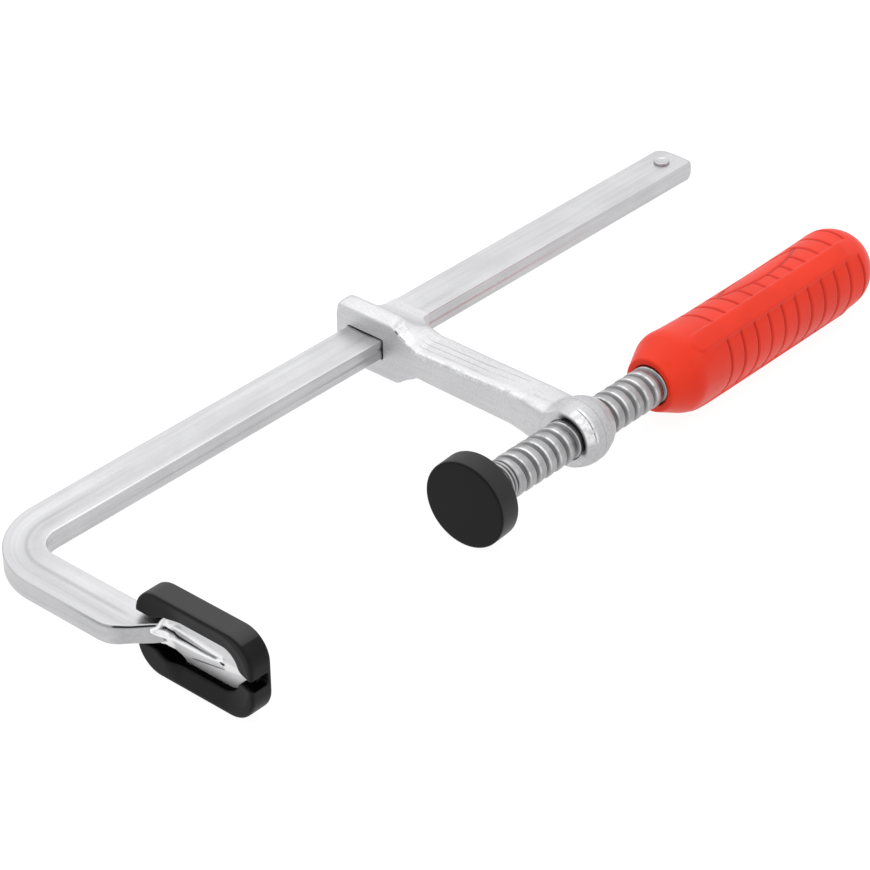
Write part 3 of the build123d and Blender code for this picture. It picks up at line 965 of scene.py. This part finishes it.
def arm_hollow(points):
    """Weight where the arm runs into the boss and the collar, which the forging blends."""
    x, y, z = points.T
    near_boss = hump(np.hypot(y, z), boss_radius, boss_blend_half) * smooth_step(y, *boss_blend_y)
    collar = hump(y, collar_blend_middle, collar_blend_half)
    collar *= smooth_step(x, *shifted(collar_blend_x, arm_front))
    corner = smooth_step(y, *corner_blend_y) * smooth_step(np.abs(z), *corner_blend_z)
    return np.clip(near_boss + collar_blend_share * collar + corner_blend_share * corner, 0, 1)


def arm_seams(points):
    """Weight where the front runs into the boss, at the collar's back and under its shoulder."""
    x, y, z = points.T
    reach = np.hypot(y, z)
    throat = hump(reach, throat_reach, throat_half) * smooth_step(y, *throat_y)
    throat *= 1 - smooth_step((z - y) / reach, *throat_facing)
    throat *= 1 - smooth_step(x, *shifted(throat_x, boss_front))
    throat *= smooth_step(reach, *throat_inside)
    back = smooth_step(x, *collar_back_x) * soft_span(y, *collar_back_y)
    under = smooth_step(-z, *shoulder_under_z) * soft_span(y, *shoulder_under_y)
    return np.clip(throat + back + shoulder_under_share * under, 0, 1)


# What the hammer and the dies leave on the mesh: dents, a flowing front, a shoulder, fillets, a thin sleeve
hammer_depth = 0.32
hammer_reach = (8.8, 9.8)
hammer_x = (0.0, 1.5)
hammer_fade = (4.0, 9.0)
hammer_scales = (330.0, 800.0)
hammer_fine_share = 0.5
hammer_level = 0.4
sink_depth = 2.2
sink_reach = 9.2
sink_skin = 0.1
sink_facing = (0.55, 1.05)
front_flow = 2.5
front_flow_y = ((3.0, 8.0), (10.0, 27.0))
front_flow_reach = (8.6, 9.6)
front_flow_side = (6.5, 9.0)
front_flow_depth = (0.5, 5.0)
shoulder_shift = 1.9
shoulder_z = (5.2, 7.4)
shoulder_y = ((64.0, 68.0), (76.0, 86.0))
sleeve_gap = 0.1
sleeve_skin = 3.58
sleeve_thin = 0.94
sleeve_span = (156.0, 170.0)
sleeve_root_margin = 2.0
sleeve_near_thin = 0.93
sleeve_near_span = (163.0, 171.5)
sleeve_near_y = (69.0, 76.0)
collar_fillet = 1.2
fillet_x = ((155.0, 157.5), (158.0, 165.0))
fillet_y = (74.0, 79.0)
fillet_z = ((3.9, 4.3), (8.0, 10.0))

arm = softened("sliding_forging", "sliding_arm", arm_voxel, arm_passes, arm_hollow)
for vertex, turn in zip(arm.data.vertices, [vertex.normal.copy() for vertex in arm.data.vertices]):
    x, y, z = vertex.co / mm
    reach = math.hypot(y, z)
    hit = smooth_step(reach, *hammer_reach) * (1 - smooth_step(y, *hammer_fade))
    hit = float(hit * smooth_step(x, *shifted(hammer_x, boss_front)))
    if hit:
        coarse, fine = [noise.noise(vertex.co * scale) for scale in hammer_scales]
        dent = coarse + hammer_fine_share * fine - hammer_level
        vertex.co += turn * (hammer_depth * mm * hit * dent)
    if x < boss_front + sink_depth and reach < sink_reach:
        shut = 1 - float(smooth_step((z - y) / reach, *sink_facing))
        vertex.co.x -= (x - boss_front - sink_skin) * shut * mm
    flow = soft_span(y, *front_flow_y) * smooth_step(reach, *front_flow_reach)
    flow *= (1 - smooth_step(abs(z), *front_flow_side)) * smooth_step(x, boss_front, arm_front)
    flow *= 1 - smooth_step(x, *shifted(front_flow_depth, arm_front))
    vertex.co.x -= front_flow * float(flow) * mm
    lower_shoulder = smooth_step(-z, *shoulder_z) * soft_span(y, *shoulder_y)
    vertex.co.y -= shoulder_shift * float(lower_shoulder) * mm
    near = sleeve_near_thin * float(smooth_step(x, *sleeve_near_span) * smooth_step(y, *sleeve_near_y))
    if near and y < bar_inner - sleeve_gap:
        vertex.co.y += (bar_inner - sleeve_gap - y) * near * mm
    fillet = soft_span(x, *fillet_x) * smooth_step(y, *fillet_y) * soft_span(abs(z), *fillet_z)
    z += math.copysign(collar_fillet, z) * float(fillet)
    vertex.co.z = z * mm
    thin = smooth_step(x, *sleeve_span) * smooth_step(y, arm_root_y, bar_inner - sleeve_root_margin)
    thin = sleeve_thin * float(thin)
    if thin and abs(z) > sleeve_skin:
        vertex.co.z = math.copysign(sleeve_skin + (abs(z) - sleeve_skin) * (1 - thin), z) * mm
    if thin and y > bar_outer + sleeve_gap:
        vertex.co.y = (bar_outer + sleeve_gap + (y - bar_outer - sleeve_gap) * (1 - thin)) * mm
relax(arm.data, seam_passes, arm_seams)

# Marks in the plating: trimmed and ground places, lines, scratches and pits, with a painted highlight on the
# boss's hammered front and painted shadow in its countersink. A triple gives where one starts, where it ends
# and how soft its ends are
forging_tones = ((0.50, 0.50, 0.51), (0.64, 0.64, 0.65))
ragged_scale = (900.0, 420.0, 900.0)
ragged_swing = 1.4
fringe_scale = (300.0, 2600.0, 500.0)
fringe_swing = 5.0
trim_hang = (0.2, 1.6, 0.3)
trim_depth = (0.5, 0.9)
trim_y = (20.0, 68.0, 3.0)
trim_patch_scale = 160.0
trim_patch_range = (0.42, 0.55)
facet_share = 0.8
facet_x = (0.45, 4.6)
facet_slope = 0.18
facet_middle = 71.0
facet_soft = 0.35
facet_y = (67.8, 74.6, 0.5)
facet_end_swing = 2.0
facet_z = (5.0, 6.0)
facet_speck_scale = 1500.0
facet_speck_range = (0.38, 0.54)
nick_share = 0.9
nick_x = 0.3
nick_half = (0.1, 0.4)
nick_y = (69.9, 74.0, 0.3)
nick_hang = (-1.2, 0.3, 0.2)
nick_range = (0.36, 0.44)
boss_fade = (2.0, 8.0)
boss_skin = (9.0, 9.5)
crown_x = (0.2, 4.2)
crown_soft = 0.4
crown_facing = (1.08, 1.24)
crown_patch_range = (0.36, 0.58)
crown_pit_range = (0.3, 0.5)
patch_scale = 420.0
pit_scale = 1100.0
wander_scale = (60.0, 60.0, 60.0)
wander_swing = 1.6
line_share = 0.36
line_places = (3.0, 5.6, 8.4)
line_half = (0.08, 0.32)
line_y = (10.0, 66.0, 3.0)
line_z = (3.5, 4.5)
line_patch_scale = 90.0
line_patch_range = (0.35, 0.6)
ring_share = 0.42
ring_places = (7.4, 11.2)
ring_halves = ((0.05, 0.25), (0.05, 0.22))
scratch_share = 0.8
scratch_x = 3.3
scratch_shift = 0.3
scratch_wander_share = 0.3
scratch_half = (0.05, 0.28)
scratch_facing = (1.1, 1.25)
scratch_patch_range = (0.38, 0.48)
sink_dark_x = (1.9, 2.6)
sink_dark_edge = (9.0, 9.4)
sink_dark_facing = (0.5, 0.95)
sink_outer = (7.5, 8.3)
sink_outer_share = 0.6
boss_dark_share = 0.07
boss_patch_share = 0.12
trimmed_relief = 3.0
pit_relief = 5.0
line_relief = 2.0
ring_relief = 3.0
scratch_relief = 4.0


def arm_marks(place):
    """Trimmed and ground places, drawn lines and the marks that the hammer left on the boss, painted bright
    as a highlight where they face up, with painted shadow in the countersink.
    """
    x, y, z = place.parts()
    arm_top = arm_root_half + (arm_root_y - y) * ((arm_tip_half - arm_root_half) / arm_root_y)
    ragged = place.stretched(ragged_scale).noise(1.0, streak_detail)
    edge_z = arm_top.most(arm_root_half + (y - arm_root_y) * root_rise)
    fringe = place.stretched(fringe_scale).noise(1.0, fine_detail)
    hang = edge_z - z + fringe_swing * fringe.swing()
    trimmed = hang.span(*trim_hang) * (1 - x.rise(*shifted(trim_depth, arm_front))) * y.span(*trim_y)
    trimmed = trimmed * place.noise(trim_patch_scale).rise(*trim_patch_range)
    speck = place.noise(facet_speck_scale, fine_detail)
    shift = ragged_swing * ragged.swing()
    facet_far = arm_front + facet_x[1] + facet_slope * (y - facet_middle)
    facet = (x + shift).span(arm_front + facet_x[0], facet_far, facet_soft)
    facet = facet * (y + facet_end_swing * shift).span(*facet_y) * z.rise(*facet_z)
    facet = facet * speck.rise(*facet_speck_range)
    nick = (x - arm_front - nick_x).near(*nick_half) * y.span(*nick_y) * ragged.rise(*nick_range)
    nick = nick * (z - edge_z).span(*nick_hang)
    reach = y.diagonal(z)
    facing = (z - y) / reach
    on_boss = (1 - y.rise(*boss_fade)) * reach.rise(*boss_skin)
    # The hammer's marks at the front of the boss are painted bright as a highlight only where they face up.
    crown = x.span(*shifted(crown_x, boss_front), crown_soft) * facing.rise(*crown_facing) * on_boss
    patch = place.noise(patch_scale, fine_detail)
    pits = place.noise(pit_scale)
    crown_bright = crown * patch.rise(*crown_patch_range) * pits.rise(*crown_pit_range)
    bright = trimmed.most(facet * facet_share).most(crown_bright)
    wander = place.stretched(wander_scale).noise(1.0) * wander_swing
    lines, *more_lines = [(x - (arm_front + offset) - wander + wander_swing / 2).near(*line_half)
                          for offset in line_places]
    for line in more_lines:
        lines = lines.most(line)
    lines = lines * y.span(*line_y) * z.rise(*line_z)
    lines = lines * place.noise(line_patch_scale).rise(*line_patch_range)
    first_ring, last_ring = [(x - boss_front - offset).near(*half)
                             for offset, half in zip(ring_places, ring_halves)]
    rings = first_ring.most(last_ring) * on_boss
    scratch = x - boss_front - scratch_x - scratch_wander_share * wander + scratch_shift
    scratch = scratch.near(*scratch_half) * patch.rise(*scratch_patch_range)
    scratch = scratch * facing.rise(*scratch_facing) * on_boss
    # Painted shadow blackens the countersink and darkens the front ring round it, on the upper near side
    # only.
    sink = (1 - x.rise(*shifted(sink_dark_x, boss_front))) * (1 - reach.rise(*sink_dark_edge))
    sink = sink * facing.rise(*sink_dark_facing) * (1 - sink_outer_share * reach.rise(*sink_outer))
    dull = on_boss * (1 - crown) * (boss_dark_share + boss_patch_share * patch)
    dark = (lines * line_share).most(rings * ring_share).most(sink).most(scratch * scratch_share)
    dark = dark.most(nick * nick_share).most(dull)
    relief = bright * ragged * trimmed_relief + on_boss * pits * pit_relief - lines * line_relief
    relief = relief - rings * ring_relief - scratch * scratch_relief
    return bright, dark, relief, on_boss


arm.data.materials.append(plated_steel(
    "plated_forging", streaks=(600.0, 60.0, 700.0), tones=forging_tones, dull=0.46, sheen=0.14,
    marks=arm_marks, speckle=0.5))
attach(arm, "arm_body")
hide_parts("sliding_arm")


# Spindle
# A steel rod with a coarse rolled thread, flat at its crests. A ball on its front end carries the
# pad, and a square tang holds it in the handle.
spindle_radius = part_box("spindle")[1][1] / mm
spindle_sides = 80
ball_x = 104.3
ball_radius = 3.6
ball_nose = 2.4
ball_points = 14
neck_radius = 2.3
rod_start = 108.6
rod_end = 194.7
rod_chamfer = 1.0
rod_skin = (-0.2, -0.1)
thread_pitch = 4.8
thread_depth = 1.0
thread_start = 118.3
thread_lead_in = (-0.6, 0.8)
thread_step = 0.13
flank_share = 0.3
flank_turns = (-0.1, 0.36)
valley_turns = (0.27, 0.46)
back_flank_turns = (0.36, 0.48)
worn_lit_turns = (-0.37, -0.25, 0.035)
lead_radius = 5.6
lead_ring_pitch = 1.35
lead_ring_shares = (0.25, 0.55)
lead_ring_depth_share = 0.75
lead_sink = 0.35
thread_crest = (-1.05, -0.3)
thread_root_shade_tone = (0.17, 0.17, 0.175)
thread_tones = ((0.29, 0.29, 0.295), (0.43, 0.43, 0.435))
thread_worn_lit_tone = (0.72, 0.72, 0.72)
thread_worn_lit_range = (0.3, 0.6)
thread_lit_side = (-3.0, 4.0)
thread_cloud_scale = 350.0
thread_fleck_scale = 1300.0
thread_cloud_share = 0.6
thread_fleck_share = 0.4
thread_dullness = 0.42
thread_sheen = 0.25
thread_worn_gloss = 0.1
thread_bump = 0.2
thread_relief = 0.1


def even_points(points, step):
    """The same outline with points at an even step along it, its own corners kept."""
    spaced = [points[0]]
    for start, end in zip(points, points[1:]):
        count = max(1, round(math.dist(start, end) / step))
        for share in np.linspace(0, 1, count + 1)[1:]:
            spaced.append(tuple(np.array(start) + (np.array(end) - np.array(start)) * share))
    return spaced


def geometry_tree(name, sizes):
    """A geometry tree with a named input for each size, and the wires of its inputs."""
    tree = bpy.data.node_groups.new(name, "GeometryNodeTree")
    tree.interface.new_socket("Geometry", in_out="INPUT", socket_type="NodeSocketGeometry")
    tree.interface.new_socket("Geometry", in_out="OUTPUT", socket_type="NodeSocketGeometry")
    for label in sizes:
        tree.interface.new_socket(label, in_out="INPUT", socket_type="NodeSocketFloat")
    entry = tree.nodes.new("NodeGroupInput")
    return tree, {socket.name: Wire(tree, socket) for socket in entry.outputs if socket.name}


def close_tree(tree, geometry, material):
    """Ends a geometry tree with real meshes and a material."""
    real = geometry.node("GeometryNodeRealizeInstances", inputs={"Geometry": geometry})
    finished = real.node("GeometryNodeSetMaterial", inputs={"Geometry": real, "Material": material})
    leave = tree.nodes.new("NodeGroupOutput")
    tree.links.new(finished.socket, leave.inputs[0])


def shaped(piece, tree, sizes):
    """Runs a geometry tree on a piece and leaves a plain mesh."""
    modifier = piece.modifiers.new(tree.name, "NODES")
    modifier.node_group = tree
    for item in tree.interface.items_tree:
        if item.name in sizes:
            modifier[item.identifier] = float(sizes[item.name])
    result = piece.evaluated_get(bpy.context.evaluated_depsgraph_get())
    made = bpy.data.meshes.new_from_object(result)
    piece.modifiers.remove(modifier)
    piece.data = made


def around_axis(tree):
    """Millimetres along X, across and up, the radius and the turn about X from +Y towards +Z."""
    along, across, up = Wire(tree).node("GeometryNodeInputPosition").parts()
    return along, across, up, across.diagonal(up), up.math("ARCTAN2", up, across)


def push_out(geometry, across, up, radius, offset):
    """Moves each point away from the X axis by offset millimetres."""
    scale = offset * mm / radius.most(axis_radius)
    move = offset.node("ShaderNodeCombineXYZ", inputs={"Y": across * scale, "Z": up * scale})
    return offset.node("GeometryNodeSetPosition", inputs={"Geometry": geometry, "Offset": move})


neck_x = ball_x + math.sqrt(ball_radius**2 - neck_radius**2)
ball_turns = np.linspace(math.acos(-ball_nose / ball_radius), math.acos((neck_x - ball_x) / ball_radius),
                         ball_points)
spindle_outline = [(ball_x - ball_nose, axis_radius)]
spindle_outline += [(ball_x + ball_radius * math.cos(t), ball_radius * math.sin(t)) for t in ball_turns]
spindle_outline += [(rod_start, neck_radius), (rod_start, lead_radius)]
spindle_outline += even_points([(rod_start + rod_chamfer, spindle_radius), (rod_end, spindle_radius)],
                               thread_step)
spindle_outline += [(rod_end, axis_radius)]
spindle = turned("screw_spindle", spindle_outline, spindle_sides)


def rolled_thread(name):
    """Plated thread: dull crests with abraded edges, painted bright as a highlight on their upper side, over
    flanks and roots painted dark as shade.
    """
    material, tree, shader = new_material(name, metallic=1.0)
    place = tree.place()
    _, y, z = place.parts()
    radius = y.diagonal(z)
    crest = radius.rise(*shifted(thread_crest, spindle_radius))
    worn = tree.kept("worn")
    cloud = place.noise(thread_cloud_scale, streak_detail)
    fleck = place.noise(thread_fleck_scale, fine_detail)
    top = cloud.rise(*noise_range) * thread_cloud_share + fleck * thread_fleck_share
    top = top.mix(*thread_tones)
    # The crests' abraded edges are painted bright as a highlight only on their upper side, and the flanks
    # and roots under the crests are painted dark as shade.
    top = (worn * cloud.rise(*thread_worn_lit_range) * z.rise(*thread_lit_side)).mix(top, thread_worn_lit_tone)
    tone = crest.mix(thread_root_shade_tone, top)
    rough = thread_dullness + thread_sheen * cloud.swing() - thread_worn_gloss * worn
    feed(material, shader, base_color=tone, roughness=rough,
         normal=(cloud + fleck).bump(thread_bump, thread_relief))
    return material


thread_sizes = {"Pitch": thread_pitch, "Depth": thread_depth, "Start": thread_start,
                "Crest": spindle_radius, "Ring pitch": lead_ring_pitch}
thread_tree, thread_in = geometry_tree("rolled_thread", thread_sizes)
along, across, up, radius, turn = around_axis(thread_tree)
lead = along / thread_in["Pitch"] - turn / (2 * math.pi)
side = lead.math("FRACT", lead).swing()
valley = flank_share * side.rise(*flank_turns) + (1 - flank_share) * side.rise(*valley_turns)
valley = valley.most((0 - side).rise(*back_flank_turns))
on_rod = radius.rise(*shifted(rod_skin, thread_in["Crest"]))
started = along.rise(*shifted(thread_lead_in, thread_in["Start"]))
ring_phase = (thread_in["Start"] - along) / thread_in["Ring pitch"]
ring_cut = (2 * ring_phase.math("FRACT", ring_phase).swing()).near(*lead_ring_shares) * (1 - started)
thread_cut = thread_in["Depth"] * (valley * started + lead_ring_depth_share * ring_cut)
thread_cut = 0 - on_rod * (thread_cut + lead_sink * (1 - started))
worn_lit_edge = (side.span(*worn_lit_turns) * started).most((1 - started) * (1 - ring_cut)) * on_rod
marked = worn_lit_edge.node("GeometryNodeStoreNamedAttribute", inputs={
    "Geometry": push_out(thread_in["Geometry"], across, up, radius, thread_cut),
    "Name": "worn", "Value": worn_lit_edge})
close_tree(thread_tree, marked, rolled_thread("rolled_thread"))
shaped(spindle, thread_tree, thread_sizes)
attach(spindle, "screw_body")
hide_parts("spindle")


# Ball ring and pressure plate
# An open wire ring snapped behind the spindle's ball, and the turned steel disc whose socket holds
# both. The pad's cup hides all but the disc's back.
wire_tones = ((0.42, 0.42, 0.43), (0.55, 0.55, 0.56))
disc_tones = ((0.46, 0.46, 0.47), (0.60, 0.60, 0.62))

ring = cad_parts["ball_ring"]
ring.data.materials.clear()
ring.data.materials.append(plated_steel(
    "spring_wire", streaks=(400.0, 400.0, 400.0), tones=wire_tones, dull=0.35, sheen=0.1))
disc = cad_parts["pressure_plate"]
disc.data.materials.clear()
disc.data.materials.append(plated_steel(
    "turned_disc", streaks=(900.0, 260.0, 260.0), tones=disc_tones, dull=0.36, sheen=0.12))


# Pressure cap
# A black moulded cup snapped over the steel disc. It hangs loose on the ball, so it sits a few
# degrees off square.
pad_front = 99.3
pad_depth = 8.2
pad_radius = 14.7
pad_wall = 1.7
pad_floor = 1.6
pad_lip = 1.2
pad_lip_depth = 0.7
pad_lip_edge = 0.25
pad_lip_bend = 0.1
pad_front_edge = 0.8
pad_back_edge = 0.7
pad_tilt = 4.0
pad_sides = 128
pad_step = 1.5
pad_lit_turn = (0.2, 0.6)

pad_inner = pad_radius - pad_wall
pad_back = pad_front + pad_depth
pad_outline = rounded([
    (pad_front, axis_radius, 0), (pad_front, pad_radius, pad_front_edge),
    (pad_back, pad_radius, pad_back_edge), (pad_back, pad_inner - pad_lip, pad_lip_edge),
    (pad_back - pad_lip_depth, pad_inner - pad_lip, pad_lip_bend), (pad_back - pad_lip_depth, pad_inner, 0),
    (pad_front + pad_floor, pad_inner, 0), (pad_front + pad_floor, axis_radius, 0),
])
pad_hang = (Matrix.Translation((ball_x * mm, 0, 0)) @ Matrix.Rotation(math.radians(pad_tilt), 4, "Z")
            @ Matrix.Translation((-ball_x * mm, 0, 0)))
pad = turned("pad_cup", even_points(pad_outline, pad_step), pad_sides, pad_hang)
pad_shade = pad.data.attributes.new("crease", "FLOAT", "POINT")
for vertex, shade in zip(pad.data.vertices, pad_shade.data):
    # The pad's rim is painted paler as light than its flat faces.
    shade.value = float(smooth_step(abs(vertex.normal.x), *pad_lit_turn)) - 1
pad.data.materials.append(moulded_plastic(
    "black_cup", deep=(0.002, 0.002, 0.0024), light=(0.003, 0.003, 0.0036), crease_shade_tone=(0.002, 0.002, 0.002),
    painted_light_tone=(0.02, 0.02, 0.021), dull=0.38, gloss=0.14, grain_scale=2200.0, grain_depth=0.05))
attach(pad, "pad_body")
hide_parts("pressure_cap")


# Handle
# A red moulded grip round the spindle's tang. Three smooth bands run along its corners, and the flatter
# panels between them have evenly spaced cross grooves; the top one has a bare long oval.
handle_low, handle_high = [np.array(corner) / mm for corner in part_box("handle")]
handle_front = handle_low[0]
handle_length = handle_high[0] - handle_low[0]
mouth_radius = 7.1
mouth_depth = 2.4
mouth_bend = 0.7
mouth_skin = (1.4, 2.2)
nose_radius = 9.3
nose_bend = 1.1
nose_run = (1.0, 3.0)
shoulder_x = 10.5
shoulder_radius = 14.35
shoulder_bend = 9.0
waist_x = 30.0
waist_run = 36.0
waist_radius = 13.65
waist_bend = 60.0
dome_length = 15.0
dome_radius = 14.3
dome_points = 40
dome_tip_share = 0.001
dome_fade = (-4.0, 4.0)
grip_step = 0.4
grip_sides = 240
band_count = 3
band_turn = 33.0
band_start = 12.6
band_half = 3.2
band_edge = (-0.4, 0.7)
band_radius = 15.2
band_most = 1.6
band_share = 0.45
corner_share = 0.55
corner_power = 2.2
panel_sink = 0.35
panel_start = (-5.0, 7.0)
panel_edge = (-0.1, 1.1)
groove_start = 26.3
groove_pitch = 7.25
groove_count = 11
groove_depth = 0.5
groove_half = (0.2, 0.68)
oval_turn = -22.0
oval_middle = 62.8
oval_half_length = 20.5
oval_half_width = 4.6
oval_line_depth = 0.4
oval_line_shares = (0.05, 0.24)
oval_margin_shares = (0.95, 1.1)
oval_powers = (2.0, 1.3)

dome_x = handle_length - dome_length
handle_outline = rounded([
    (mouth_depth, axis_radius, 0), (mouth_depth, mouth_radius, 0), (0, mouth_radius, mouth_bend),
    (0, nose_radius, nose_bend), (shoulder_x, shoulder_radius, shoulder_bend),
    (waist_x, waist_radius, waist_bend), (waist_x + waist_run, waist_radius, waist_bend),
    (dome_x, dome_radius, 0),
])
handle_outline += [(dome_x + dome_length * math.sin(t), dome_radius * max(math.cos(t), dome_tip_share))
                   for t in np.linspace(0, math.pi / 2, dome_points)[1:]]
handle_outline = [(handle_front + x, radius) for x, radius in even_points(handle_outline, grip_step)]
handle = turned("grip", handle_outline, grip_sides)

grip_sizes = {
    "Front": handle_front, "Band start": band_start, "Band half": band_half, "Band radius": band_radius,
    "Panel sink": panel_sink, "Groove start": groove_start, "Groove pitch": groove_pitch,
    "Groove count": groove_count, "Groove depth": groove_depth, "Oval depth": oval_line_depth,
}
grip_tree, grip_in = geometry_tree("grip", grip_sizes)
along, across, up, radius, turn = around_axis(grip_tree)
reach = along - grip_in["Front"]
outside = radius.rise(*shifted(mouth_skin, mouth_radius)) * reach.rise(*nose_run)
lean = turn * (180 / math.pi) - 90
third = (lean - band_turn) / (360 / band_count)
off_band = abs(third - third.math("ROUND", third))
from_band = off_band * (2 * math.pi / band_count) * radius
ahead = (reach - grip_in["Band start"] - grip_in["Band half"]).least(0)
from_line = ahead.diagonal(from_band)
band = 1 - from_line.rise(*shifted(band_edge, grip_in["Band half"]))
band_fade = 1 - reach.rise(*shifted(dome_fade, dome_x))
band_rise = (grip_in["Band radius"] - radius).most(0).least(band_most) * band_fade
panel_half = grip_in["Band half"] + math.pi / band_count * radius
off_corner = (from_line - grip_in["Band half"]).most(0) / (panel_half - 2 * grip_in["Band half"])
corner = (1 - off_corner).most(0)**corner_power
full = reach.rise(*shifted(panel_start, grip_in["Band start"])) * band_fade
sunk = grip_in["Panel sink"] * full
step_number = (reach - grip_in["Groove start"]) / grip_in["Groove pitch"]
whole = step_number.math("ROUND", step_number).most(0).least(grip_in["Groove count"] - 1)
from_groove = abs(step_number - whole) * grip_in["Groove pitch"]
panel = from_band.rise(*shifted(panel_edge, grip_in["Band half"]))
oval_across = (lean - oval_turn) * (math.pi / 180) * radius / oval_half_width
oval_along = abs(reach - oval_middle) / oval_half_length
in_oval = oval_along**oval_powers[0] + abs(oval_across)**oval_powers[1]
oval_line = (in_oval - 1).near(*oval_line_shares)
groove_mask = (1 - from_groove.rise(*groove_half)) * panel * in_oval.rise(*oval_margin_shares)
raise_by = (band_share * band * band_rise + corner * (corner_share * band_rise * full + sunk) - sunk
            - groove_mask * grip_in["Groove depth"] - oval_line * grip_in["Oval depth"])
formed = push_out(grip_in["Geometry"], across, up, radius, raise_by * outside)
# The grooves and the oval's line are painted darker as shade.
creased = formed.node("GeometryNodeStoreNamedAttribute", inputs={
    "Geometry": formed, "Name": "crease", "Value": groove_mask.most(oval_line) * outside})
close_tree(grip_tree, creased, moulded_plastic(
    "red_moulding", deep=(0.60, 0.022, 0.005), light=(0.66, 0.027, 0.0065), crease_shade_tone=(0.42, 0.011, 0.0025),
    painted_light_tone=(0.66, 0.027, 0.0065), dull=0.40, gloss=0.2, grain_scale=1800.0, grain_depth=0.05))
shaped(handle, grip_tree, grip_sizes)
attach(handle, "screw_body")
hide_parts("handle")


# Studio
# A pale seamless floor under the clamp, a wide soft light overhead and a bright room round it, seen
# by a long lens from above the fixed jaw.
floor_level = cad_box[0][2]
floor_half = 3.0
room_stops = ((0.0, (0.46, 0.46, 0.47)), (0.55, (1.0, 1.0, 1.0)), (1.0, (0.66, 0.66, 0.66)))
room_strength = 1.48
softbox_size = (1.6, 1.2)
softbox_power = 5.0
softbox_place = (0.25, 0.25, 1.1)
softbox_lean = -10
camera_place = (-507.43, -536.69, 546.40)
camera_turn = (57.248, 0.607, -48.312)
camera_lens = 133.42
camera_far = 20.0
sensor_width = 36.0

floor_mesh = bpy.data.meshes.new("studio_floor")
floor_mesh.from_pydata(
    [(-floor_half, -floor_half, floor_level), (floor_half, -floor_half, floor_level),
     (floor_half, floor_half, floor_level), (-floor_half, floor_half, floor_level)],
    [], [(0, 1, 2, 3)])
floor = link("studio_floor", floor_mesh)
floor_material, _, _ = new_material(
    "pale_floor", base_color=(0.10, 0.10, 0.10, 1), roughness=0.9, emission_color=(1, 1, 1, 1),
    emission_strength=0.92)
floor.data.materials.append(floor_material)

world = bpy.data.worlds.new("studio")
bpy.context.scene.world = world
world.use_nodes = True
room = Wire(world.node_tree)
sky = room.node("ShaderNodeTexCoord")
height = sky.node("ShaderNodeSeparateXYZ", inputs={"Vector": sky}, output="Z")
glow = room.node("ShaderNodeValToRGB", {"stops": room_stops}, {"Fac": height})
backdrop = world.node_tree.nodes["Background"]
world.node_tree.links.new(glow.socket, backdrop.inputs["Color"])
backdrop.inputs["Strength"].default_value = room_strength

softbox = bpy.data.lights.new("overhead_softbox", "AREA")
softbox.shape = "RECTANGLE"
softbox.size, softbox.size_y = softbox_size
softbox.energy = softbox_power
softbox_object = link("overhead_softbox", softbox)
softbox_object.location = softbox_place
softbox_object.rotation_euler = (math.radians(softbox_lean), 0, 0)

camera_data = bpy.data.cameras.new("camera")
camera_data.lens = camera_lens
camera_data.sensor_width = sensor_width
camera_data.clip_end = camera_far
camera = link("camera", camera_data)
camera.location = [place * mm for place in camera_place]
camera.rotation_euler = [math.radians(turn) for turn in camera_turn]
bpy.context.scene.camera = camera
bpy.context.scene.view_settings.view_transform = "Standard"
